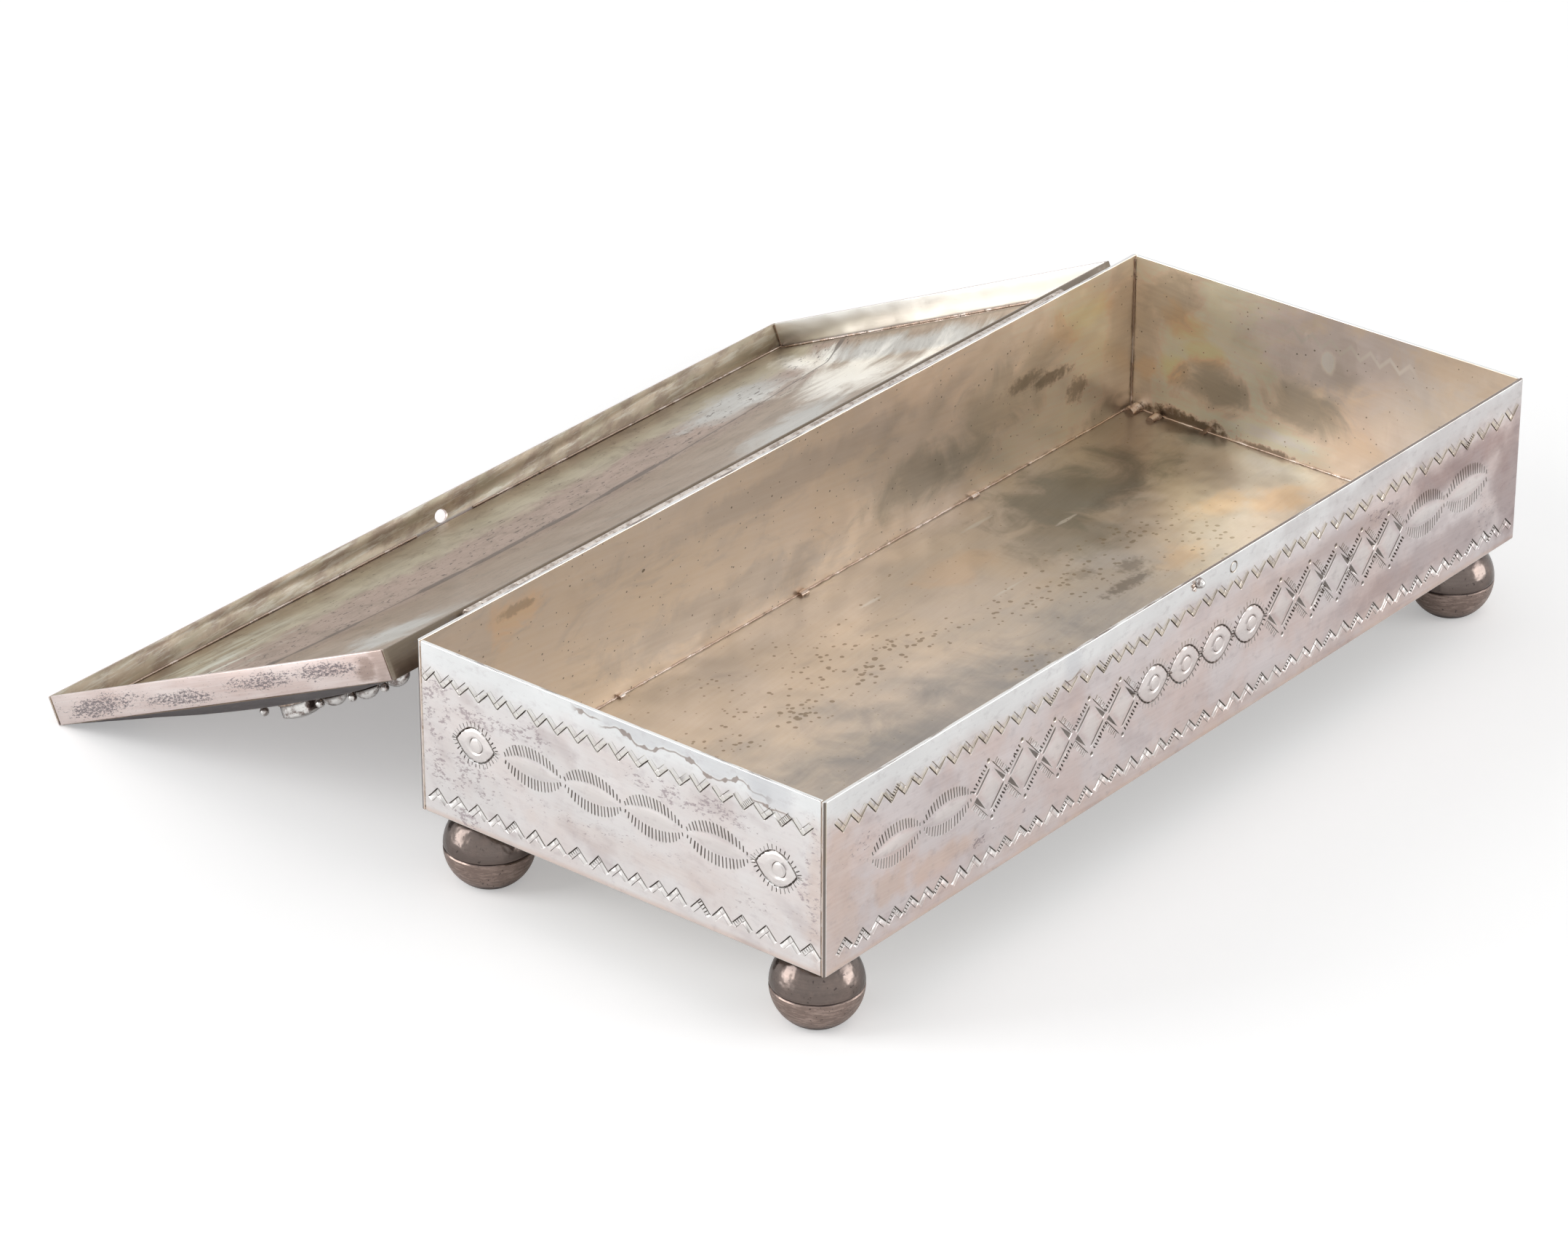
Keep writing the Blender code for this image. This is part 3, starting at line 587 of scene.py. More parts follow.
@dataclass(frozen=True)
class LidInside:
    """The lid's inside: a rosy band with dark pits, olive edges, and pale bluish patches."""

    olive: Colour = (0.38, 0.30, 0.235)
    rosy: Colour = (0.40, 0.31, 0.26)
    green: Colour = (0.47, 0.42, 0.32)
    bluish: Colour = (0.55, 0.545, 0.52)
    cream: Colour = (0.92, 0.89, 0.82)
    frost: Colour = (0.66, 0.665, 0.58)
    brown: Colour = (0.24, 0.195, 0.15)
    pit: Colour = (0.13, 0.105, 0.09)
    blued: Sequence[Patch] = (
        (61, 64, 17, 8, 1.0), (188, 61, 20, 9, 0.9), (208, 93, 19, 6, 0.9),
        (235, 60, 4, 40, 0.8), (120, 40, 40, 12, 0.6), (40, 25, 18, 9, 0.8),
    )
    frosted: Sequence[Patch] = ((28, 99, 34, 7.5, 1.0),)
    creamed: Sequence[Patch] = (
        (220, 66, 13, 20, 1.0), (232, 92, 6, 9, 1.0), (229, 30, 8, 26, 0.7),
        (20, 94, 10, 8, 0.6),
    )
    fold_mm: float = 86.2

    def coat(self, bench: NodeBench) -> Coat:
        """Return the colour by the place along the lid and across it from the hinge."""
        along, across, _ = bench.parts()
        rag = bench.noise((0.05, 0.11, 0.1), 6.0, 0.65, 0.8)
        edge = bench.plus(across, bench.times(bench.less(rag, 0.5), 16.0))
        coat = Coat(bench, self.olive)
        coat.lay(self.rosy, edge, 80.0, 86.0)
        coat.lay(self.green, edge, 94.0, 98.5)
        coat.lay(self.olive, edge, 101.0, 105.0, 0.5)
        mottle = bench.noise((0.10, 0.22, 0.2), 6.0, 0.7, 1.0, turn=8)
        coat.lay(self.brown, mottle, 0.44, 0.70, 0.5)
        coat.blot(self.bluish, self.blued, rag, 30.0)
        grain = bench.ease(bench.noise((0.03, 0.75, 0.7), 5.0, 0.7, turn=2), 0.44, 0.60, 0.9)
        coat.over(bench.times(grain, bench.patches(self.frosted, rag)), self.frost)
        coat.blot(self.cream, self.creamed, rag, 30.0)
        coat.brush(bench.noise((0.04, 1.3, 1.0), 4.0, turn=-2), 0.25, (0.2, 0.2, 0.19))
        wide = bench.times(bench.ease(bench.noise(0.06, 2.0), 0.42, 0.66), 0.8)
        coat.lay(self.pit, bench.less(bench.apart(across, self.fold_mm), wide), 0.45, 0.0, 0.75)
        coat.lay(self.brown, bench.apart(along, LID_MIDDLE_MM[0]), 118.6, 119.6, 0.7)
        band = bench.times(bench.ease(edge, 80.0, 84.0), bench.ease(edge, 99.0, 94.0))
        dots = bench.noise((0.5, 1.5, 1.2), 3.0, 0.65)
        coat.lay(self.pit, bench.less(dots, bench.blend(band, 0.66, 0.60)), 0.0, 0.04, 0.8)
        return coat


@dataclass(frozen=True)
class LidOutside:
    """The lid's outside: dark grey brushed silver with a rosy worn edge."""

    grey: Colour = (0.38, 0.35, 0.34)
    dark: Colour = (0.085, 0.075, 0.08)
    rosy: Colour = (0.44, 0.37, 0.345)
    pit: Colour = (0.13, 0.11, 0.10)

    def coat(self, bench: NodeBench) -> Coat:
        """Return the colour of the outside."""
        along, across, _ = bench.parts()
        coat = Coat(bench, self.grey)
        coat.lay(self.rosy, bench.noise(0.03, 5.0, 0.62, 0.6), 0.35, 0.65)
        end = bench.ease(bench.apart(along, LID_MIDDLE_MM[0]), 108.0, 114.0)
        coat.over(bench.times(end, 0.9), self.dark)
        coat.lay(self.dark, bench.apart(across, LID_MIDDLE_MM[1]), 34.0, 44.0, 0.35)
        arcs = bench.noise((0.10, 1.4, 1.0), 5.0, 0.65, 0.4, turn=35)
        coat.brush(arcs, 0.4, (0.15, 0.15, 0.15))
        coat.lay(self.pit, bench.noise((1.1, 1.7, 1.5), 2.0, 0.6), 0.66, 0.71, 0.7)
        return coat


@dataclass(frozen=True)
class RosyStrip:
    """The lid's flange strips: rosy, worn and darkened by dense pits."""

    rosy: Colour = (0.62, 0.50, 0.465)
    pale: Colour = (0.72, 0.63, 0.60)
    brown: Colour = (0.30, 0.225, 0.19)
    pit: Colour = (0.19, 0.165, 0.175)
    gold: Colour = (0.54, 0.455, 0.355)
    olive: Colour = (0.44, 0.395, 0.305)
    frost: Colour = (0.66, 0.64, 0.57)
    cream: Colour = (0.86, 0.85, 0.81)
    pitted: Sequence[Patch] = (
        (93, 3.8, 15, 2.8, 1.0), (68, 4.3, 14, 1.9, 0.9), (40, 2.9, 13, 1.9, 0.9),
        (20, 2.6, 13, 1.9, 0.95), (180, 3, 30, 3, 0.8), (140, 4, 14, 2, 0.8),
    )
    # Brown patches: stains on most strips, and on the back strip a painted shade over its whole
    # face.
    browned_and_shaded: Sequence[Patch] = ((2, 3, 4, 5, 0.6), (7, 3.4, 3.5, 2.6, 0.8))
    paled: Sequence[Patch] = ((75, 2.5, 12, 2, 0.6), (100, 1.0, 8, 1.2, 0.6))
    creamed: float = 0.0

    def outer(self, bench: NodeBench) -> Socket:
        """Return the colour of the outer face."""
        rag = bench.noise((0.12, 0.3, 0.3), 5.0, 0.65)
        coat = Coat(bench, self.rosy)
        coat.lay(self.pale, bench.noise((0.05, 0.15, 0.15), 3.0, 0.5), 0.35, 0.70)
        coat.blot(self.brown, self.browned_and_shaded, rag)
        coat.blot(self.pale, self.paled, rag)
        coat.brush(bench.noise((0.08, 2.2, 1.0), 4.0), 0.3, (0.2, 0.18, 0.18))
        speck = bench.noise((1.0, 2.2, 1.8), 6.0, 0.8)
        low = bench.blend(bench.patches(self.pitted, rag), 0.61, 0.465)
        coat.lay(self.pit, bench.less(speck, low), 0.0, 0.03, 0.9)
        return coat.colour

    def inner(self, bench: NodeBench) -> Socket:
        """Return the colour of the inner face: brownish gold with pale solder streaks."""
        coat = Coat(bench, self.gold)
        coat.lay(self.olive, bench.noise((0.06, 0.4, 0.4), 6.0, 0.65), 0.40, 0.66)
        blot = bench.noise((0.12, 0.28, 0.3), 4.0, 0.65, turn=20)
        coat.lay(self.brown, blot, 0.44, 0.64, 0.6)
        white = bench.noise((0.10, 1.1, 0.9), 5.0, 0.72, turn=3)
        coat.lay(self.frost, white, 0.50, 0.62, 0.6)
        coat.over(self.creamed, self.cream)
        coat.lay(self.pit, bench.parts()[1], 5.2, 5.9, 0.7)
        return coat.colour


@dataclass(frozen=True)
class TurnedBall:
    """The feet: polished silver, with painted shade near the top under the box and near the table,
    and warm pink below the seam.
    """

    bright: Colour = (0.16, 0.13, 0.117)
    warm: Colour = (0.25, 0.19, 0.165)
    # Used for the painted shade at the top and bottom, and for the dark seam and specks.
    dark: Colour = (0.05, 0.04, 0.04)
    scuffed: Colour = (0.40, 0.31, 0.27)
    seam_height_mm: float = 7.9

    def material(self) -> bpy.types.Material:
        """Return the material of the balls."""
        bench = NodeBench("ball_foot_silver")
        height = bench.parts()[2]
        cloud = bench.noise(0.16, 5.0, 0.65, 0.5)
        coat = Coat(bench, self.bright)
        coat.lay(self.warm, cloud, 0.48, 0.70, 0.5)
        coat.lay(self.warm, height, 8.6, 7.6)
        # Painted shade: the ball darkens towards its top, under the box.
        coat.lay(self.dark, bench.plus(height, bench.times(cloud, 5.0)), 15.4, 18.2, 0.85)
        coat.lay(self.dark, bench.apart(height, self.seam_height_mm), 0.32, 0.08, 0.85)
        turned = bench.noise((0.04, 0.04, 2.6))
        coat.brush(turned, 0.25, (0.2, 0.2, 0.2))
        scuff = bench.ease(bench.noise((0.35, 0.35, 2.2), 5.0, 0.75), 0.48, 0.60)
        coat.over(bench.times(scuff, bench.ease(height, 8.2, 7.0)), self.scuffed)
        # Painted shade: the ball darkens at its bottom, where it meets the table.
        coat.lay(self.dark, height, 2.0, 0.6, 0.75)
        coat.lay(self.dark, bench.noise(1.3, 2.0, 0.6), 0.64, 0.70, 0.7)
        rough = bench.plus(bench.times(cloud, 0.10), 0.17)
        rough = bench.plus(rough, bench.ease(height, 8.2, 6.8, 0.22))
        normal = bench.bump(bench.noise(0.25, 2.0, 0.5), 0.0004)
        return bench.finish(coat.colour, rough, bench.bump(turned, 0.000012, normal))


class Shine(Enum):
    """How bright a small silver piece is finished, as its roughness."""

    POLISHED = 0.14
    DULL = 0.44


@dataclass(frozen=True)
class SmallSilver:
    """Small soldered pieces: bright on top, with painted shade at the foot where they meet the
    surface.
    """

    bright: Colour = (0.74, 0.72, 0.70)
    dim: Colour = (0.22, 0.18, 0.165)
    # The colour of the painted shade at the foot.
    foot: Colour = (0.06, 0.05, 0.045)
    shade_reach_mm: float = 1.1

    def material(self, name: str, shine: Shine, foot_shade: float) -> bpy.types.Material:
        """Return the material of small pieces, which carry their height as an attribute.

        Args:
            name: The material's name.
            shine: How bright it is.
            foot_shade: How strong the painted shade at the foot is, as a share.

        Returns:
            The material.
        """
        bench = NodeBench(name)
        cloud = bench.noise(0.6, 4.0, 0.65)
        coat = Coat(bench, self.bright)
        coat.lay(self.dim, cloud, 0.42, 0.64)
        lift = bench.node("ShaderNodeAttribute", attribute_name="lift_mm").outputs["Fac"]
        stray = bench.plus(lift, bench.times(cloud, 0.8))
        # Painted shade: darker towards the foot, where the piece meets the surface.
        foot = bench.times(bench.ease(stray, self.shade_reach_mm, 0.35), foot_shade)
        coat.over(foot, self.foot)
        coat.lay(self.dim, bench.noise(2.4, 2.0, 0.6), 0.62, 0.70, 0.6)
        rough = bench.plus(bench.times(cloud, 0.18), shine.value - 0.09)
        return bench.finish(coat.colour, rough, bench.bump(bench.noise(1.1), 0.00012))


@dataclass(frozen=True)
class Solder:
    """Solder runs: lumpy, pale on the crests and dark brown beside them."""

    pale: Colour = (0.60, 0.52, 0.47)
    brown: Colour = (0.42, 0.325, 0.265)
    black: Colour = (0.13, 0.10, 0.07)

    def material(self, name: str, share_dark: float) -> bpy.types.Material:
        """Return a solder finish in which a share of the run is dark."""
        bench = NodeBench(name)
        coat = Coat(bench, self.brown)
        coat.lay(self.pale, bench.noise(0.13, 5.0, 0.7), 0.62 - 0.3 * share_dark, 0.44)
        fine = bench.noise(0.9, 4.0, 0.65)
        level = 0.66 - 0.16 * share_dark
        coat.lay(self.black, fine, level, level + 0.10, 0.8)
        rough = bench.plus(bench.times(fine, 0.2), 0.14)
        return bench.finish(coat.colour, rough, bench.bump(fine, 0.00005))


# Stamps


class Punch(Enum):
    """The punches, in the order of their names."""

    A_LINE = 0
    B_WEDGE = 1
    C_FACET = 2
    D_DOT = 3
    E_RING = 4


class Swell(Enum):
    """The raised forms that a stamp leaves inside its outline."""

    A_ALMOND = 0
    B_LOZENGE = 1
    C_DISC = 2


@dataclass(frozen=True)
class Mark:
    """One stroke of a punch, or one raised form: place, turn and size on its face."""

    form: Enum
    u: float
    v: float
    angle: float
    length: float
    width: float
    depth: float
    proud: float = 0.0


LIFT = 0.3


def linked(name: str, data: bpy.types.ID) -> bpy.types.Object:
    """Return a new object of the scene that holds some data."""
    made = bpy.data.objects.new(name, data)
    bpy.context.scene.collection.objects.link(made)
    return made


def plain_mesh(name: str, bm: bmesh.types.BMesh) -> bpy.types.Mesh:
    """Return an edited mesh as a plain one, and free the edited one."""
    mesh = bpy.data.meshes.new(name)
    bm.to_mesh(mesh)
    bm.free()
    return mesh


def carry(mesh: bpy.types.Mesh, name: str, kind: str, values: Sequence) -> None:
    """Give each point of a mesh its value of a new attribute."""
    key = "vector" if kind == "FLOAT_VECTOR" else "value"
    for item, value in zip(mesh.attributes.new(name, kind, "POINT").data, values):
        setattr(item, key, value)


def closed_mesh(
    name: str, verts: Sequence, faces: Sequence[tuple] | None = None,
    lifts: Sequence[float] = ()
) -> bpy.types.Mesh:
    """Return a closed mesh with its faces pointing out.

    Args:
        name: The mesh's name.
        verts: Its points.
        faces: Its faces, or else it is the convex mesh round its points.
        lifts: The height of each point in millimetres, carried as an attribute.

    Returns:
        The mesh.
    """
    bm = bmesh.new()
    made = [bm.verts.new(vert) for vert in verts]
    if faces is None:
        bmesh.ops.convex_hull(bm, input=bm.verts)
    for face in faces or ():
        bm.faces.new([made[index] for index in face])
    bmesh.ops.recalc_face_normals(bm, faces=bm.faces)
    mesh = plain_mesh(name, bm)
    if lifts:
        carry(mesh, "lift_mm", "FLOAT", lifts)
    return mesh


def circle(steps: int, radius: float = 1.0) -> list[Point]:
    """Return evenly spaced points of a circle."""
    turns = [2 * math.pi * step / steps for step in range(steps)]
    return [(radius * math.cos(turn), radius * math.sin(turn)) for turn in turns]


def tube_faces(rows: int, count: int, joined: bool = False) -> list[tuple]:
    """Return the faces between rows of so many points each, with the last row joined if wanted."""
    faces = []
    for row in range(rows if joined else rows - 1):
        low, high = row * count, (row + 1) % rows * count
        for index in range(count):
            after = (index + 1) % count
            faces.append((low + index, low + after, high + after, high + index))
    return faces


def ring_mesh(name: str, steps: int = 28, groove: float = 0.2) -> bpy.types.Mesh:
    """Return a closed ring with a pointed section that reaches down, of unit radius."""
    section = [(1 - groove * 1.3, LIFT), (1 + groove * 1.3, LIFT), (1, -1)]
    verts = [(radius * x, radius * y, up) for x, y in circle(steps) for radius, up in section]
    return closed_mesh(name, verts, tube_faces(steps, len(section), joined=True))


def punch_mesh(punch: Punch) -> bpy.types.Mesh:
    """Return a punch of unit length, width and depth, with its top above the face."""
    if punch is Punch.E_RING:
        return ring_mesh(punch.name.lower())
    tops = {
        Punch.A_LINE: (
            (-0.62, 0), (-0.45, 0.6), (0.45, 0.6), (0.62, 0), (0.45, -0.6), (-0.45, -0.6),
        ),
        Punch.B_WEDGE: ((-0.55, 0.65), (-0.55, -0.65), (0.65, 0)),
        Punch.C_FACET: ((-0.5, -0.06), (-0.5, 1.3), (0.5, -0.06), (0.5, 1.3)),
        Punch.D_DOT: circle(10, 0.6),
    }
    feet = {
        Punch.A_LINE: ((-0.4, 0, -1), (0.4, 0, -1)),
        Punch.B_WEDGE: ((-0.4, 0, -1), (0.1, 0, -0.6)),
        Punch.C_FACET: ((-0.47, 0, -1), (0.47, 0, -1)),
        Punch.D_DOT: ((0, 0, -1),),
    }
    top = [(x, y, LIFT) for x, y in tops[punch]]
    return closed_mesh(punch.name.lower(), [*top, *feet[punch]])


def almond(angle: float, point: float = 0.95) -> Point:
    """Return a point of a unit almond, with its two tips on the X axis."""
    x = math.cos(angle)
    y = max(0.0, 1 - abs(x) ** 2.0) ** point
    return x, math.copysign(y, math.sin(angle))


def swell_outline(swell: Swell, steps: int = 40) -> list[Point]:
    """Return the outline of a raised form, of unit half length and half width."""
    if swell is Swell.A_ALMOND:
        return [almond(2 * math.pi * step / steps) for step in range(steps)]
    if swell is Swell.C_DISC:
        return circle(steps)
    return [(x / (abs(x) + abs(y)), y / (abs(x) + abs(y))) for x, y in circle(steps)]


def swell_mesh(swell: Swell, rings: int = 5) -> bpy.types.Mesh:
    """Return a low closed dome over an outline, of unit height, sunk below the face."""
    outline = swell_outline(swell)
    count = len(outline)
    verts = [(x, y, -LIFT) for x, y in outline]
    for ring in range(rings):
        share = math.cos(math.pi / 2 * ring / rings)
        up = 1 - share**2.5
        verts += [(x * share, y * share, up) for x, y in outline]
    verts += [(0, 0, 1), (0, 0, -LIFT)]
    top, bottom = len(verts) - 2, len(verts) - 1
    faces = []
    for index in range(count):
        after = (index + 1) % count
        for ring in range(rings):
            low, high = ring * count, (ring + 1) * count
            faces.append((low + index, low + after, high + after, high + index))
        faces.append((rings * count + index, rings * count + after, top))
        faces.append((after, index, bottom))
    return closed_mesh(swell.name.lower(), verts, faces)


class StampSet:
    """Collects the marks of one face, from single strokes to whole stamps."""

    def __init__(self, seed: int) -> None:
        """Start an empty set whose small irregularities follow a seed."""
        self.hand = random.Random(seed)
        self.cuts: list[Mark] = []
        self.swells: list[Mark] = []

    def stray(self, amount: float) -> float:
        """Return a small random amount, to either side of zero."""
        return self.hand.uniform(-amount, amount)

    def stroke(
        self, punch: Punch, start: Point, end: Point, width: float, depth: float
    ) -> None:
        """Cut one stroke from start to end."""
        run, rise = end[0] - start[0], end[1] - start[1]
        middle = ((start[0] + end[0]) / 2, (start[1] + end[1]) / 2)
        angle, length = math.atan2(rise, run), math.hypot(run, rise)
        self.cuts.append(Mark(punch, *middle, angle, length, width, depth))

    def spot(
        self, punch: Punch, u: float, v: float, size: float, depth: float, proud: float = 0.0
    ) -> None:
        """Cut one round mark, from a place that may stand proud of the face."""
        self.cuts.append(Mark(punch, u, v, 0.0, size, size, depth, proud))

    def swell(
        self, form: Swell, u: float, v: float, half: Point, height: float, proud: float = 0.0
    ) -> None:
        """Raise one form inside a stamp."""
        self.swells.append(Mark(form, u, v, 0.0, half[0], half[1], height, proud))

    def vee(self, u: float, v: float, reach: Point, band: float, upturned: bool) -> None:
        """Stamp one V, with its point down, or turned over with its point up.

        Args:
            u: Place of its point along the face.
            v: Place of its point up the face.
            reach: How far its arms run along and up.
            band: The width of its slanting band.
            upturned: Whether the point is on top.
        """
        way = -1 if upturned else 1
        along, up = reach[0] * way, (reach[1] + self.stray(0.25)) * way
        ends = [(u - along, v + up), (u, v), (u + along, v + up)]
        depth = self.hand.uniform(0.045, 0.065)
        for index in range(2):
            start, end = ends[index], ends[index + 1]
            self.stroke(Punch.C_FACET, start, end, band, depth)
            bold = self.hand.uniform(0.40, 0.52) if upturned and index == 0 else 0.38
            self.stroke(Punch.A_LINE, start, end, bold, self.hand.uniform(0.20, 0.34))
            side = (-(end[1] - start[1]), end[0] - start[0])
            size = math.hypot(*side)
            across = (side[0] / size * band, side[1] / size * band)
            inner = [(x + across[0], y + across[1]) for x, y in (start, end)]
            self.stroke(Punch.A_LINE, inner[0], inner[1], 0.24, self.hand.uniform(0.09, 0.18))
            if self.hand.random() < (0.4 if upturned and index == 1 else 0.07):
                self.ticks(start, end, across, 5 if upturned else 7)

    def ticks(self, start: Point, end: Point, across: Point, count: int) -> None:
        """Cut short ticks across a band."""
        for index in range(count):
            share = (index + 0.7) / (count + 0.4)
            x = start[0] + (end[0] - start[0]) * share
            y = start[1] + (end[1] - start[1]) * share
            low = (x + across[0] * 0.10, y + across[1] * 0.10)
            high = (x + across[0] * 0.95, y + across[1] * 0.95)
            self.stroke(Punch.A_LINE, low, high, 1.9 / (count + 1), 0.30)

    def outline(self, u: float, v: float, half: Point, width: float, depth: float) -> None:
        """Cut an almond outline as a chain of strokes."""
        steps = 26
        ring = [almond(2 * math.pi * step / steps) for step in range(steps)]
        places = [(u + x * half[0], v + y * half[1]) for x, y in ring]
        for index, start in enumerate(places):
            self.stroke(Punch.A_LINE, start, places[(index + 1) % steps], width, depth)

    def eye(self, u: float, v: float, half: Point, rays: int = 34) -> None:
        """Stamp an eye: a raised almond with a ring in it and short rays round it."""
        self.swell(Swell.A_ALMOND, u, v, (half[0] * 0.97, half[1] * 0.97), 0.24)
        self.outline(u, v, half, 0.56, 0.38)
        centre = (u + 0.45 + self.stray(0.25), v + self.stray(0.2))
        self.swell(Swell.C_DISC, *centre, (1.5, 1.5), 0.12, 0.29)
        self.spot(Punch.E_RING, *centre, 1.65, 0.52, 0.32)
        for index in range(rays):
            angle = 2 * math.pi * (index + 0.5) / rays
            x, y = almond(angle)
            out = Vector((math.cos(angle) * 0.8, math.sin(angle) * 1.1)).normalized()
            foot = (u + x * half[0] + out.x * 0.2, v + y * half[1] + out.y * 0.2)
            reach = self.hand.uniform(0.85, 1.35)
            tip = (foot[0] + out.x * reach, foot[1] + out.y * reach)
            self.stroke(Punch.A_LINE, foot, tip, 0.32, self.hand.uniform(0.18, 0.32))

    def rayed_oval(self, left: float, right: float, low: float, high: float) -> None:
        """Stamp an oval of two rows of rays round a smooth, slightly raised lens."""
        u, v = (left + right) / 2, (low + high) / 2
        half = ((right - left) / 2 + 0.15, (high - low) / 2 + 0.1)
        inner = half[1] * 0.40
        self.swell(Swell.A_ALMOND, u, v, (half[0] * 0.93, inner * 0.95), 0.10)
        count = 18
        for side in (-1, 1):
            lean = 0.22 if side > 0 else 0.0
            for index in range(count):
                share = (-1 + (2 * index + 1) / count) * 0.97 + self.stray(0.008)
                outer = half[1] * (1 - share ** 2) ** 0.68
                foot_v = inner * (1 - share ** 2) ** 1.15 + 0.15
                reach = outer - foot_v
                if reach < 0.3:
                    continue
                foot = (u + share * half[0] * 0.97, v + side * foot_v)
                fan = (share * 0.22 - lean) * reach
                tip = (foot[0] + fan, v + side * (outer - 0.05))
                depth = self.hand.uniform(0.20, 0.34)
                self.stroke(Punch.A_LINE, foot, tip, self.hand.uniform(0.42, 0.54), depth)

    def diamond(self, u: float, v: float, half: Point = (4.05, 4.3)) -> None:
        """Stamp a diamond: a raised lozenge in four grooves, each with a bar and ticks outside."""
        self.swell(Swell.B_LOZENGE, u, v, (half[0] * 0.98, half[1] * 0.98), 0.10)
        for right, up in ((1, 1), (-1, -1), (1, -1), (-1, 1)):
            out = Vector((right * half[1], up * half[0])).normalized()
            side = Vector((u + right * half[0], v))
            peak = Vector((u, v + up * half[1]))
            along = (peak - side).normalized()
            if right == up:
                wide, punch = self.hand.uniform(1.2, 1.5), Punch.B_WEDGE
            else:
                wide, punch = self.hand.uniform(0.7, 0.85), Punch.A_LINE
            shift = out * (wide * 0.5 + 0.05)
            self.stroke(punch, side + shift, peak + shift, wide, self.hand.uniform(0.34, 0.46))
            rail = out * (1.5 if right == up else 1.25)
            reach = along * (0.9 if right == up else 0.3)
            self.stroke(Punch.A_LINE, side + rail, peak + rail + reach, 0.28, 0.20)
            for index in range(8):
                root = side + rail + out * 0.15 + along * (0.25 + 0.78 * index + self.stray(0.06))
                tip = root + (out + along * self.stray(0.2)) * self.hand.uniform(1.0, 1.35)
                self.stroke(Punch.A_LINE, root, tip, 0.44, self.hand.uniform(0.28, 0.42))
        for way in (-1, 1):
            self.spot(Punch.D_DOT, u - way * 0.7, v + way * (half[1] + 2.3), 1.3, 0.4)


def mark_cloud(name: str, marks: Sequence[Mark], face: FaceFrame) -> bpy.types.Object:
    """Return points that carry each mark's form, turn and size, placed on a face."""
    mesh = bpy.data.meshes.new(name)
    mesh.from_pydata([face.point(mark.u, mark.v, mark.proud) for mark in marks], [], [])
    turns = [(face.turn() @ Matrix.Rotation(mark.angle, 3, "Z")).to_euler() for mark in marks]
    sizes = [Vector((mark.length, mark.width, mark.depth)) * MM for mark in marks]
    carry(mesh, "form", "INT", [mark.form.value for mark in marks])
    carry(mesh, "turn", "FLOAT_VECTOR", turns)
    carry(mesh, "size", "FLOAT_VECTOR", sizes)
    return linked(name, mesh)


class GeometryBench(TreeBench):
    """Builds one geometry nodes tree with named inputs, and runs it on meshes."""

    def __init__(self, name: str, inputs: dict[str, str]) -> None:
        """Start a tree that takes geometry and some named inputs, and gives geometry."""
        self.tree = bpy.data.node_groups.new(name, "GeometryNodeTree")
        socket = self.tree.interface.new_socket
        socket("Geometry", in_out="OUTPUT", socket_type="NodeSocketGeometry")
        for label, kind in ({"Geometry": "Geometry"} | inputs).items():
            socket(label, in_out="INPUT", socket_type=f"NodeSocket{kind}")
        self.source = self.node("NodeGroupInput")

    def given(self, name: str) -> Socket:
        """Return the value of a named input."""
        return self.source.outputs[name]

    def add(self, kind: str, feeds: dict | None = None, **settings: object) -> Socket:
        """Add a geometry node and return its first output."""
        return self.node(f"GeometryNode{kind}", feeds, **settings).outputs[0]

    def carried(self, name: str, kind: str) -> Socket:
        """Return an attribute that the points carry."""
        return self.add("InputNamedAttribute", {"Name": name}, data_type=kind)

    def end(self, geometry: Socket) -> None:
        """Realize the instances, set the material input, and give the result."""
        real = self.add("RealizeInstances", {0: geometry})
        dressed = self.add("SetMaterial", {0: real, "Material": self.given("Material")})
        self.node("NodeGroupOutput", {0: dressed})

    def run(self, name: str, mesh: bpy.types.Mesh, **values: object) -> bpy.types.Mesh:
        """Return a plain mesh made by the tree.

        Args:
            name: The name of the new mesh.
            mesh: The mesh that goes in.
            values: The named inputs, in small letters.

        Returns:
            The result, with no modifier left.
        """
        holder = linked(name, mesh)
        modifier = holder.modifiers.new("Nodes", "NODES")
        modifier.node_group = self.tree
        for item in self.tree.interface.items_tree:
            if item.in_out == "INPUT" and item.name.lower() in values:
                modifier[item.identifier] = values[item.name.lower()]
        graph = bpy.context.evaluated_depsgraph_get()
        made = bpy.data.meshes.new_from_object(holder.evaluated_get(graph), depsgraph=graph)
        bpy.data.objects.remove(holder)
        made.name = name
        return made


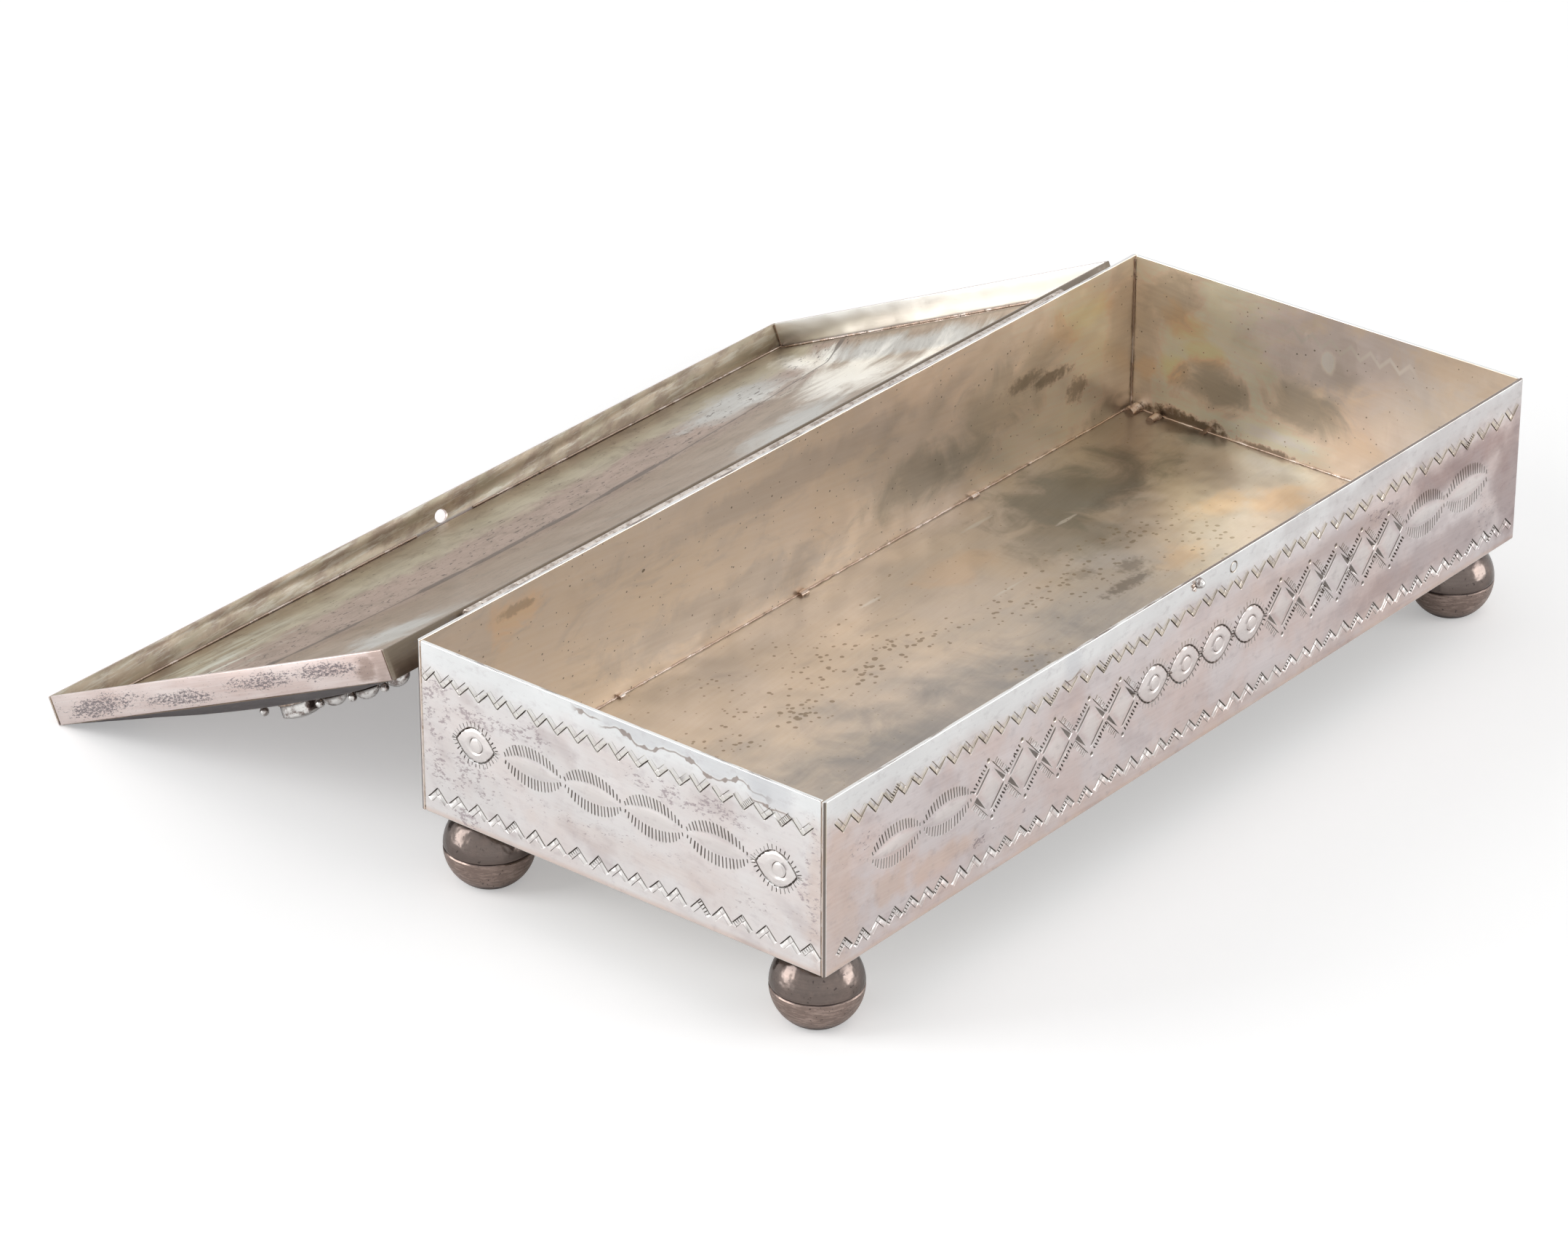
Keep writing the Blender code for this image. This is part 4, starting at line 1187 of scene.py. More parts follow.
class StampingBench:
    """Cuts a face's marks into a sheet, after raising what the stamps leave proud."""

    def __init__(self) -> None:
        """Make the punches and the raised forms, and the tree that uses them."""
        inputs = {"Cuts": "Object", "Swells": "Object", "Material": "Material"}
        bench = GeometryBench("stamping", inputs)
        cuts = self.spread(bench, "Cuts", [punch_mesh(punch) for punch in Punch])
        swells = self.spread(bench, "Swells", [swell_mesh(swell) for swell in Swell])
        feeds = {"Mesh 2": bench.given("Geometry")}
        kind = "GeometryNodeMeshBoolean"
        joined = bench.node(kind, feeds, operation="UNION", solver="MANIFOLD")
        bench.feed(joined.inputs["Mesh 2"], swells)
        feeds = {"Mesh 1": joined.outputs["Mesh"], "Mesh 2": cuts}
        bench.end(bench.node(kind, feeds, operation="DIFFERENCE", solver="MANIFOLD").outputs[0])
        self.bench = bench

    @staticmethod
    def spread(bench: GeometryBench, cloud: str, tools: Sequence[bpy.types.Mesh]) -> Socket:
        """Return the tools set on the points of a named input, by what the points carry."""
        shelf = bpy.data.collections.new(f"{cloud}_tools")
        for mesh in tools:
            shelf.objects.link(bpy.data.objects.new(mesh.name, mesh))
        points = bench.node("GeometryNodeObjectInfo", {"Object": bench.given(cloud)})
        tools_feeds = {"Collection": shelf, "Separate Children": True, "Reset Children": True}
        turn = bench.carried("turn", "FLOAT_VECTOR")
        feeds = {
            "Points": bench.add("MeshToPoints", {"Mesh": points.outputs["Geometry"]}),
            "Instance": bench.add("CollectionInfo", tools_feeds),
            "Pick Instance": True,
            "Instance Index": bench.carried("form", "INT"),
            "Rotation": bench.node("FunctionNodeEulerToRotation", {0: turn}).outputs[0],
            "Scale": bench.carried("size", "FLOAT_VECTOR"),
        }
        return bench.add("InstanceOnPoints", feeds)

    def stamp(
        self, name: str, sheet: bpy.types.Mesh, face: FaceFrame, stamps: StampSet,
        material: bpy.types.Material
    ) -> bpy.types.Mesh:
        """Return the sheet with a face's stamps in it."""
        cuts = mark_cloud(name + "_cuts", stamps.cuts, face)
        swells = mark_cloud(name + "_swells", stamps.swells, face)
        made = self.bench.run(name, sheet, cuts=cuts, swells=swells, material=material)
        for cloud in (cuts, swells):
            bpy.data.objects.remove(cloud)
        return made


# Pieces


def node_copy(node: str, bevel_mm: float) -> bpy.types.Mesh:
    """Return a merged copy of a frame solid, with its sharp edges eased."""
    bm = bmesh.new()
    bm.from_mesh(frame["nodes"][node].data)
    bmesh.ops.remove_doubles(bm, verts=bm.verts, dist=WELD_REACH)
    bmesh.ops.dissolve_limit(
        bm, angle_limit=math.radians(FLAT_DEGREES), verts=bm.verts, edges=bm.edges,
        delimit=set()
    )
    sharp = [
        edge for edge in bm.edges
        if edge.is_manifold and edge.calc_face_angle() > math.radians(EASED_DEGREES)
    ]
    bmesh.ops.bevel(
        bm, geom=sharp, offset=bevel_mm * MM, segments=2, profile=0.5, affect="EDGES",
        clamp_overlap=True
    )
    return plain_mesh(node + "_sheet", bm)


def add_piece(
    name: str, mesh: bpy.types.Mesh, body: str, nodes: Sequence[str] = (),
    material: bpy.types.Material | None = None, sharp_degrees: float = 30.0,
    flat_normal: Vector | None = None
) -> None:
    """Add a finished piece at the origin, riding on a body.

    Args:
        name: The piece's name.
        mesh: Its mesh, in the row frame.
        body: The CAD body that carries it.
        nodes: The CAD nodes that it stands for.
        material: Its material, unless the mesh has one.
        sharp_degrees: Edges above this angle stay sharp.
        flat_normal: Faces to this side, or away from it, are shaded flat.
    """
    if material is not None:
        mesh.materials.clear()
        mesh.materials.append(material)
    mesh.shade_smooth()
    mesh.set_sharp_from_angle(angle=math.radians(sharp_degrees))
    if flat_normal is not None:
        for face in mesh.polygons:
            if abs(face.normal.dot(flat_normal)) > FLAT_ENOUGH:
                face.use_smooth = False
    piece = linked(name, mesh)
    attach(piece, body)
    if nodes:
        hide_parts(*nodes)
    log.info("%s: %d faces", name, len(mesh.polygons))


def lathe_mesh(name: str, profile: Sequence[Point], steps: int, place: Matrix) -> bpy.types.Mesh:
    """Return a profile turned round the Z axis of a place, closed at its poles.

    Args:
        name: The mesh's name.
        profile: Points as radius and height in millimetres, from the top pole to the bottom.
        steps: Steps round the axis.
        place: The matrix from the axis to the row frame.

    Returns:
        The mesh, which carries each point's height as an attribute.
    """
    verts, faces, lifts, rings = [], [], [], []
    for radius, height in profile:
        ring = circle(steps, radius) if radius > 0 else [(0.0, 0.0)]
        rings.append(range(len(verts), len(verts) + len(ring)))
        verts += [place @ (Vector((x, y, height)) * MM) for x, y in ring]
        lifts += [height] * len(ring)
    for upper, lower in zip(rings, rings[1:]):
        for step in range(steps):
            after = (step + 1) % steps
            corners = [upper[step % len(upper)], upper[after % len(upper)]]
            corners += [lower[after % len(lower)], lower[step % len(lower)]]
            faces.append(tuple(dict.fromkeys(corners)))
    return closed_mesh(name, verts, faces, lifts)


def dome_profile(radius: float, rise: float, steps: int, foot: float = 0.0) -> list[Point]:
    """Return half a dome's outline, from its top down to its foot."""
    turns = [math.pi / 2 * step / steps for step in range(steps + 1)]
    return [(radius * math.sin(turn), foot + rise * math.cos(turn)) for turn in turns]


@dataclass(frozen=True)
class Run:
    """One run of solder: the points that it follows, and its mean radius in millimetres."""

    points: Sequence[Vector]
    radius_mm: float


def ring_run(
    place: Matrix, ring_mm: float, height_mm: float, radius_mm: float, steps: int = 28
) -> Run:
    """Return a run of solder round the Z axis of a place, of the given ring and radius."""
    ring = circle(steps, ring_mm)
    points = [place @ (Vector((x, y, height_mm)) * MM) for x, y in [*ring, ring[0]]]
    return Run(points, radius_mm)


def straight(start: Triple, end: Triple, radius_mm: float) -> Run:
    """Return a straight run of solder."""
    return Run([Vector(start), Vector(end)], radius_mm)


class SolderBench:
    """Lays lumpy runs of solder along paths, with waves of stray and thickness to the metre."""

    stray_waves: float = 650.0
    lump_waves: float = 420.0
    path_step_mm: float = 0.5
    section_steps: int = 10

    def __init__(self) -> None:
        """Make the tree: paths are resampled, strayed a little, and given a round section."""
        inputs = dict.fromkeys(("Step", "Stray", "Lumps", "Seed"), "Float")
        bench = GeometryBench("solder_run", inputs | {"Material": "Material"})
        given = bench.given
        paths = bench.add("MeshToCurve", {0: given("Geometry")})
        fine = bench.add("ResampleCurve", {"Curve": paths, "Length": given("Step")}, mode="LENGTH")
        drift = bench.vector("SUBTRACT", self.cloud(bench, self.stray_waves, 1), (0.5, 0.5, 0.5))
        feeds = {0: drift, "Scale": given("Stray")}
        offset = bench.node("ShaderNodeVectorMath", feeds, operation="SCALE").outputs[0]
        moved = bench.add("SetPosition", {"Geometry": fine, "Offset": offset})
        swing = bench.less(self.cloud(bench, self.lump_waves, 0), 0.5)
        spread = bench.math("MULTIPLY_ADD", swing, given("Lumps"), 1.0)
        radius = bench.times(bench.carried("thick", "FLOAT"), spread)
        sized = bench.add("SetCurveRadius", {"Curve": moved, "Radius": radius})
        feeds = {"Resolution": self.section_steps, "Radius": 1.0}
        section = bench.add("CurvePrimitiveCircle", feeds)
        feeds = {"Curve": sized, "Profile Curve": section, "Fill Caps": True}
        tube = bench.node("GeometryNodeCurveToMesh", feeds)
        if "Scale" in tube.inputs:
            bench.feed(tube.inputs["Scale"], radius)
        bench.end(tube.outputs[0])
        self.bench = bench

    @staticmethod
    def cloud(bench: GeometryBench, scale: float, output: int) -> Socket:
        """Return noise over the place, which follows the seed: its value, or its colour."""
        place = bench.add("InputPosition")
        feeds = {"Vector": place, "W": bench.given("Seed"), "Scale": scale, "Detail": 2.0}
        return bench.node("ShaderNodeTexNoise", feeds, noise_dimensions="4D").outputs[output]

    def lay(
        self, name: str, runs: Sequence[Run], seed: float, share_dark: float,
        lumps: float = 1.3, stray: float = 0.3
    ) -> bpy.types.Mesh:
        """Return solder along its runs.

        Args:
            name: The mesh's name.
            runs: The runs.
            seed: The seed of the lumps.
            share_dark: How much of the solder is dark.
            lumps: How much the radius swings round its mean.
            stray: How far the path strays, in millimetres.

        Returns:
            The mesh.
        """
        verts, edges, radii = [], [], []
        for run in runs:
            first = len(verts)
            verts += run.points
            edges += [(index, index + 1) for index in range(first, len(verts) - 1)]
            radii += [run.radius_mm * MM] * len(run.points)
        mesh = bpy.data.meshes.new(name + "_paths")
        mesh.from_pydata(verts, edges, [])
        carry(mesh, "thick", "FLOAT", radii)
        return self.bench.run(
            name, mesh, step=self.path_step_mm * MM, stray=stray * MM, lumps=lumps, seed=seed,
            material=Solder().material(name + "_silver", share_dark)
        )


# What marks each face, in millimetres on it. The plain ones are for walls with none of their
# own, and the painted lightness is two places along a face and how light it is painted at each:
# painted light and shade that evens out how the lamps light the tray.

PLAIN_MARKS = OuterMarks(
    pitted=(
        (20, 26, 18, 4, 0.9), (75, 12, 18, 5, 0.8), (150, 14, 30, 5, 0.7), (215, 28, 14, 4, 0.8),
    ),
    warmed=((10, 11, 12, 8, 0.8), (95, 10, 14, 6, 0.7)),
    flooded=((30.0, 74.0, 35.0),),
)
WALL_MARKS = {
    "left_end_wall": OuterMarks(
        pitted=(
            (20, 26.5, 20, 3.2, 1.0), (72, 27, 20, 3.2, 0.95), (12, 12, 16, 6, 0.9),
            (11.5, 2, 5, 2.5, 1.0), (5, 24, 5, 9, 1.0), (101, 20, 4, 14, 0.85),
            (50, 12, 30, 2.5, 0.6), (84, 10, 12, 3, 0.6),
        ),
        warmed=((103, 18, 4, 18, 0.7), (60, 10, 30, 3, 0.3)),
        flooded=((40.0, 49.0, 36.6), (47.0, 92.0, 35.2), (84.0, 97.0, 33.4)),
    ),
    "front_wall": OuterMarks(
        pitted=(
            (52, 9.3, 6, 1.9, 1.0), (64, 9.5, 6, 1.3, 0.9), (189, 27, 8, 2.2, 0.9),
            (12, 24, 9, 4, 0.6), (228, 12, 8, 7, 0.6),
        ),
        warmed=(
            (4, 16, 8, 20, 0.8), (20, 11.5, 7, 4, 1.0), (35, 10.5, 11, 3, 1.0),
            (150, 26, 60, 3, 0.35), (120, 3, 110, 3.5, 0.45),
        ),
        flooded=((74.0, 82.0, 33.4),),
        dusky=(
            (216, 26.5, 28, 4, 1.0), (236, 16, 7, 15, 0.9), (205, 9, 38, 4.5, 0.7),
            (172, 26, 26, 3, 0.5), (208, 36, 58, 4, 0.5),
        ),
    ),
}
PLAIN_STAINS: Stains = {
    "dark": ((60, 12, 22, 7, 0.6), (180, 16, 26, 8, 0.6)),
    "deep": ((120, 1.2, 160, 0.9, 0.6),),
    "amber": ((30, 24, 12, 6, 0.6), (130, 26, 18, 6, 0.5)),
    "grey": ((100, 20, 40, 9, 0.5),),
}
WALL_STAINS: dict[str, Stains] = {
    "back_wall": {
        "dark": (
            (75, 12, 25, 7, 0.62), (50, 20, 16, 8, 0.5), (35, 28, 12, 6, 0.35),
            (4, 20, 7, 26, 0.4), (9, 2, 13, 4.5, 0.7),
        ),
        "deep": (
            (41, 21.8, 7.5, 1.8, 0.6), (32, 19.4, 7, 1.7, 0.7), (22, 13, 4, 3, 0.6),
            (211, 34, 6, 1.2, 0.4), (60, 0.8, 70, 0.6, 0.4), (0.7, 12, 0.9, 14, 0.4),
        ),
        "grey": ((150, 9, 40, 6, 0.6), (120, 30, 60, 4, 0.5)),
        "amber": ((211, 33, 9, 5, 0.6), (24, 30, 14, 5, 0.5)),
        "spot": ((171, 27, 3, 2, 1.0),),
    },
    "right_end_wall": {
        "dark": (
            (79, 12, 13, 6, 0.9), (56, 14, 13, 7, 0.75), (46, 24, 9, 3.5, 0.3),
            (100, 19, 6, 25, 0.45), (93, 30, 12, 8, 0.6),
        ),
        "deep": (
            (88, 1.6, 13, 2.2, 1.0), (45, 0.8, 34, 0.5, 0.4), (66, 1.2, 10, 1.0, 0.8),
            (103.4, 12, 0.9, 14, 0.4),
        ),
        "amber": (
            (89, 26, 7, 5, 1.0), (92, 14, 5, 4, 0.9), (84, 20, 6, 3.5, 0.8), (99, 12, 4, 4, 0.7),
        ),
        "pale": ((50, 27.5, 1.5, 2.4, 0.9), (20, 20, 18, 16, 0.35), (62, 5, 14, 2.5, 0.4)),
        "lilac": ((46, 29, 30, 11, 1.0), (34, 17, 16, 7, 0.6)),
    },
}
# Painted light and shade along the tray's walls: two places along a face and the lightness painted
# at each.
WALL_PAINTED_LIGHTNESS = {"back_wall": (10.0, 110.0, 1.42, 1.22), "right_end_wall": (10.0, 70.0, 0.93, 1.5)}
PLAIN_PAINTED_LIGHTNESS = (0.0, 100.0, 0.95, 0.95)
FLOOR_STAINS: Stains = {
    "grey": ((95, 28, 62, 32, 1.0), (160, 10, 60, 22, 0.9)),
    "dark": (
        (196, 86, 27, 14, 1.0), (178, 76, 15, 12, 0.7), (236, 80, 5, 6, 0.8),
        (60, 20, 24, 12, 0.5),
    ),
    "deep": (
        (168, 51.5, 9, 2.0, 0.65), (175, 56, 4, 3, 0.5), (165, 62, 4, 2.5, 0.35),
        (198, 78, 10, 3, 0.3),
    ),
    "amber": (
        (185, 50, 9, 5, 0.75), (210, 58, 9, 5, 0.75), (222, 50, 9, 6, 0.7),
        (150, 84, 12, 6, 0.4),
    ),
    "pale": (
        (126, 89, 3.4, 0.45, 0.9), (184, 80, 4, 0.4, 0.8), (170, 94, 5, 0.6, 0.6),
        (150, 70, 5, 0.35, 0.5),
    ),
    "spot": (
        (92, 70, 42, 6, 1.0), (86, 78, 40, 7, 0.75), (165, 63, 36, 10, 0.85),
        (195, 50, 18, 12, 0.9), (130, 45, 12, 6, 0.8), (95, 90, 50, 6, 0.35),
    ),
}
# Painted light and shade along the tray's floor: two places along it and the lightness painted at
# each.
FLOOR_PAINTED_LIGHTNESS = (110.0, 205.0, 0.55, 0.45)


@dataclass
class Walls:
    """The four walls, stamped outside and tarnished inside."""

    upper_row_mm: float = 29.6
    lower_row_mm: float = 6.3
    long_upper: Sequence[float] = (
        5.5, 10.3, 15.5, 20.3, 24.5, 29, 34.5, 40, 45, 50, 55, 60.5, 66, 71, 77, 83, 88.5, 93.5,
        98, 103, 108, 113.5, 119, 124.5, 130, 135.5, 141.5, 147, 152.5, 158, 163.5, 170, 175.5,
        180.5, 187, 192, 197, 203, 208.5, 214, 219, 225, 230.5, 236,
    )
    long_lower: Sequence[float] = (
        6, 11.5, 16.5, 21.5, 26.5, 31.5, 36, 42, 46.5, 51.5, 56.5, 61.5, 66.5, 72, 77, 83, 88.5,
        93.5, 98.5, 103.5, 108.5, 113.5, 118.5, 123.5, 129, 134, 139, 144, 149, 154.5, 159.5, 164,
        169, 174, 179, 185, 190.5, 196, 201.5, 207, 212, 217, 223, 227.5, 231.5, 236,
    )
    short_upper: Sequence[float] = (
        2, 6.7, 11, 16, 21, 26, 31.5, 36.7, 42, 47, 52.5, 57.5, 62.5, 68, 73, 78.7, 84, 89, 93.3,
        98.5,
    )
    short_lower: Sequence[float] = (
        4.5, 10, 15.2, 20.5, 25, 30.5, 36, 41.5, 47, 52, 57, 62.5, 67, 73, 78.5, 83.5, 89.5, 95.5,
        100.5,
    )
    long_ovals: Sequence[Triple] = ((14, 30, 0), (30, 46, 0), (196, 211.5, 0.7), (211.5, 228, 0.7))
    short_ovals: Sequence[Point] = ((22.3, 38), (38, 53.5), (53.5, 69.2), (69.2, 85.5))
    diamonds: Sequence[float] = (51.5, 62.3, 73, 84.3, 94.7, 150.5, 161, 170.5, 180, 190)
    eyes: Sequence[float] = (105.3, 116.2, 127.5, 139)
    # Painted light: the end walls take a lighter copy of the worn sheet's colours, for the extra
    # light that falls on them.
    lit_end_sheet: WornSheet = WornSheet(
        lilac=(0.76, 0.73, 0.72), pink=(0.74, 0.68, 0.66), pale=(0.82, 0.83, 0.83),
        groove=(0.76, 0.74, 0.68), pit=(0.36, 0.29, 0.31)
    )
    frames: dict[str, FaceFrame] = field(default_factory=wall_frames)

    def rows(self, seed: int, upper: Sequence[float], lower: Sequence[float]) -> StampSet:
        """Return a new set of stamps with the two zigzag rows of a face."""
        stamps = StampSet(seed)
        for u in upper:
            stamps.vee(u, self.upper_row_mm + stamps.stray(0.25), (2.65, 2.8), 1.25, False)
        for u in lower:
            stamps.vee(u, self.lower_row_mm + stamps.stray(0.25), (2.6, 2.8), 1.2, True)
        return stamps

    def long_stamps(self, seed: int) -> StampSet:
        """Return the stamps of a long face."""
        stamps = self.rows(seed, self.long_upper, self.long_lower)
        for left, right, swell in self.long_ovals:
            stamps.rayed_oval(left, right, 15.4 - swell, 24.8 + swell)
        for u in self.diamonds:
            stamps.diamond(u, 19.2)
        for u in self.eyes:
            stamps.eye(u, 20.0, (5.3, 4.1))
        stamps.spot(Punch.E_RING, 132.5, 35.7, 1.15, 0.2)
        return stamps

    def short_stamps(self, seed: int) -> StampSet:
        """Return the stamps of a short face."""
        stamps = self.rows(seed, self.short_upper, self.short_lower)
        stamps.eye(15, 19.7, (5.0, 3.85))
        for left, right in self.short_ovals:
            stamps.rayed_oval(left, right, 15.1, 24.3)
        stamps.eye(92, 19.8, (5.1, 3.9))
        return stamps

    def material(self, name: str) -> bpy.types.Material:
        """Return a wall's material: worn silver outside, tarnish inside."""
        bench = NodeBench(name, self.frames[name])
        along, _, proud = bench.parts()
        marks = WALL_MARKS.get(name, PLAIN_MARKS)
        # The end walls take the lighter copy, as painted light.
        worn = self.lit_end_sheet if "end" in name else WornSheet()
        coat = worn.coat(bench, marks)
        if marks.dusky:
            mask = bench.patches(marks.dusky, bench.noise(0.09, 4.0, 0.6))
            coat.over(mask, worn.dusk, "MULTIPLY")
        rim = bench.noise((0.10, 0.5, 1.5), 5.0, 0.7)
        if name == "front_wall":
            rim = bench.plus(rim, bench.ease(along, 60.0, 150.0, 0.2))
        if name == "right_end_wall":
            rim = bench.less(rim, 0.2)
        edge = bench.tint(bench.ease(rim, 0.50, 0.62), worn.pale, worn.rim)
        coat.lay(edge, bench.facing(Vector((0, 0, 1))), 0.5, 0.9)
        stains, painted_lightness = WALL_STAINS.get(name, PLAIN_STAINS), WALL_PAINTED_LIGHTNESS.get(name, PLAIN_PAINTED_LIGHTNESS)
        inner = TannedSheet().coat(bench, stains, painted_lightness)
        if name == "right_end_wall":
            self.painted_show_through(inner)
        coat.lay(inner.colour, proud, -0.62, -0.74)
        return bench.sheet(coat.colour, 0.36)

    @staticmethod
    def painted_show_through(coat: Coat) -> None:
        """Paint a pale zigzag where the upper stamps' relief shows faintly through the sheet, as a
        painted highlight.
        """
        bench = coat.bench
        along, height, _ = bench.parts()
        wave = bench.plus(bench.math("PINGPONG", along, 2.6), 30.6)
        mask = bench.ease(bench.apart(height, wave), 0.95, 0.2, 0.85)
        reach = bench.ease(bench.apart(along, 45.0), 20.0, 14.0)
        # Painted highlight: the stamps' relief on the inside is painted pale instead of raised.
        coat.over(bench.times(mask, reach), (0.90, 0.87, 0.84))

    def build(self, bench: StampingBench) -> None:
        """Build the four walls."""
        for seed, (name, face) in enumerate(self.frames.items()):
            stamps = self.short_stamps(seed) if "end" in name else self.long_stamps(seed)
            sheet, material = node_copy(name, 0.1), self.material(name)
            mesh = bench.stamp(name + "_stamped", sheet, face, stamps, material)
            add_piece(
                "stamped_" + name, mesh, "box", [name], sharp_degrees=12.0,
                flat_normal=face.normal
            )


@dataclass
class TrayFloor:
    """The tray's floor plate, and the solder that holds the tray together."""

    plate: str = "floor_plate"
    bottom_seam_mm: float = 0.29
    corner_seam_mm: float = 0.28
    end_seam_mm: float = 0.30
    under_seam_mm: float = 0.24
    blobs: Sequence[tuple[float, ...]] = (
        (237.4, 101.2, 1.5, 1.7), (236.8, 95.0, 1.1, 1.6), (119.7, 102.6, 0.9, 1.1),
        (60.0, 102.7, 0.7, 0.8), (238.4, 82.0, 0.7, 1.0), (2.2, 101.6, 0.8, 1.2),
        (180.0, 102.7, 0.6, 1.2),
    )

    def face(self) -> FaceFrame:
        """Return the frame of the floor's top, with u and v from the outer front left corner."""
        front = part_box("front_wall")[0]
        corner = Vector((front.x, front.y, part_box(self.plate)[1].z))
        return FaceFrame(corner, Vector((1, 0, 0)), Vector((0, 1, 0)), Vector((0, 0, 1)))

    def dress(self) -> None:
        """Give the floor plate its tarnish."""
        bench = NodeBench("floor_tarnish", self.face())
        coat = TannedSheet().coat(bench, FLOOR_STAINS, FLOOR_PAINTED_LIGHTNESS)
        plate = frame["nodes"][self.plate].data
        plate.materials.clear()
        plate.materials.append(bench.sheet(coat.colour, 0.33))
        log.info("%s: tarnished", self.plate)

    def seams(self) -> list[Run]:
        """Return the runs of solder inside and outside the tray."""
        low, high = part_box(self.plate)
        wall_low, wall_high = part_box("front_wall")[0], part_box("back_wall")[1]
        inset = Vector((0.18, 0.18, 0.05)) * MM
        (left, near, _), (right, far, floor) = low - inset, high + inset
        rim = wall_high.z - 0.7 * MM
        runs = []
        for y in (near, far):
            runs.append(straight((left, y, floor), (right, y, floor), self.bottom_seam_mm))
        for x in (left, right):
            runs.append(straight((x, near, floor), (x, far, floor), self.bottom_seam_mm))
            for y in (near, far):
                runs.append(straight((x, y, floor), (x, y, rim), self.corner_seam_mm))
        foot, top = wall_low.z + 0.35 * MM, wall_high.z - 0.35 * MM
        for x in (wall_low.x + 0.30 * MM, wall_high.x - 0.30 * MM):
            for y in (low.y - 0.22 * MM, high.y + 0.22 * MM):
                runs.append(straight((x, y, foot), (x, y, top), self.end_seam_mm))
        return [*runs, self.underside(low, high), *self.lumps()]

    def underside(self, low: Vector, high: Vector) -> Run:
        """Return the run in the gap round the floor plate, seen from below."""
        gap, z = 0.15 * MM, low.z + 0.3 * MM
        left, right, near, far = low.x - gap, high.x + gap, low.y - gap, high.y + gap
        corners = ((left, near), (right, near), (right, far), (left, far), (left, near))
        return Run([Vector((x, y, z)) for x, y in corners], self.under_seam_mm)

    def lumps(self) -> list[Run]:
        """Return lumps of solder left in the tray's corners and seams."""
        face = self.face()
        return [
            Run([face.point(u - reach, v), face.point(u + reach, v)], radius)
            for u, v, radius, reach in self.blobs
        ]


def feet() -> dict[str, Vector]:
    """Return the middle of each foot's lower dome by the foot's name."""
    names = [f"foot_{side}_{end}" for side in ("front", "back") for end in ("left", "right")]
    return {name: sum(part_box(name + "_lower_dome"), Vector()) / 2 for name in names}


@dataclass
class BallFeet:
    """The four ball feet, each with a seam round the middle and a collar of solder."""

    radius_mm: float = 9.5
    centre_mm: float = 7.9
    groove_mm: float = 0.32
    groove_half_mm: float = 0.34
    top_mm: float = 16.2
    rows: int = 56
    steps: int = 96
    collar_mm: Triple = (4.3, -0.25, 0.5)

    def profile(self) -> list[Point]:
        """Return half the ball's outline, from the flat under the box to the flat on the table."""
        points = [(0.0, self.top_mm)]
        for row in range(self.rows + 1):
            height = self.top_mm * (1 - row / self.rows)
            up = height - self.centre_mm
            radius = math.sqrt(max(self.radius_mm**2 - up**2, 0.0))
            radius -= self.groove_mm * max(0.0, 1 - abs(up) / self.groove_half_mm)
            points.append((radius, height))
        return [*points, (0.0, 0.0)]

    def build(self) -> None:
        """Turn the four balls."""
        material = TurnedBall().material()
        for name, middle in feet().items():
            place = Matrix.Translation((middle.x, middle.y, 0))
            ball = "ball_" + name
            mesh = lathe_mesh(ball, self.profile(), self.steps, place)
            nodes = [f"{name}_{half}_dome" for half in ("upper", "lower")]
            add_piece(ball, mesh, "box", nodes, material, 40.0)

    def seams(self) -> list[Run]:
        """Return the rings of solder between the balls and the tray's underside."""
        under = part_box("floor_plate")[0].z
        places = [Matrix.Translation((middle.x, middle.y, under)) for middle in feet().values()]
        return [ring_run(place, *self.collar_mm) for place in places]


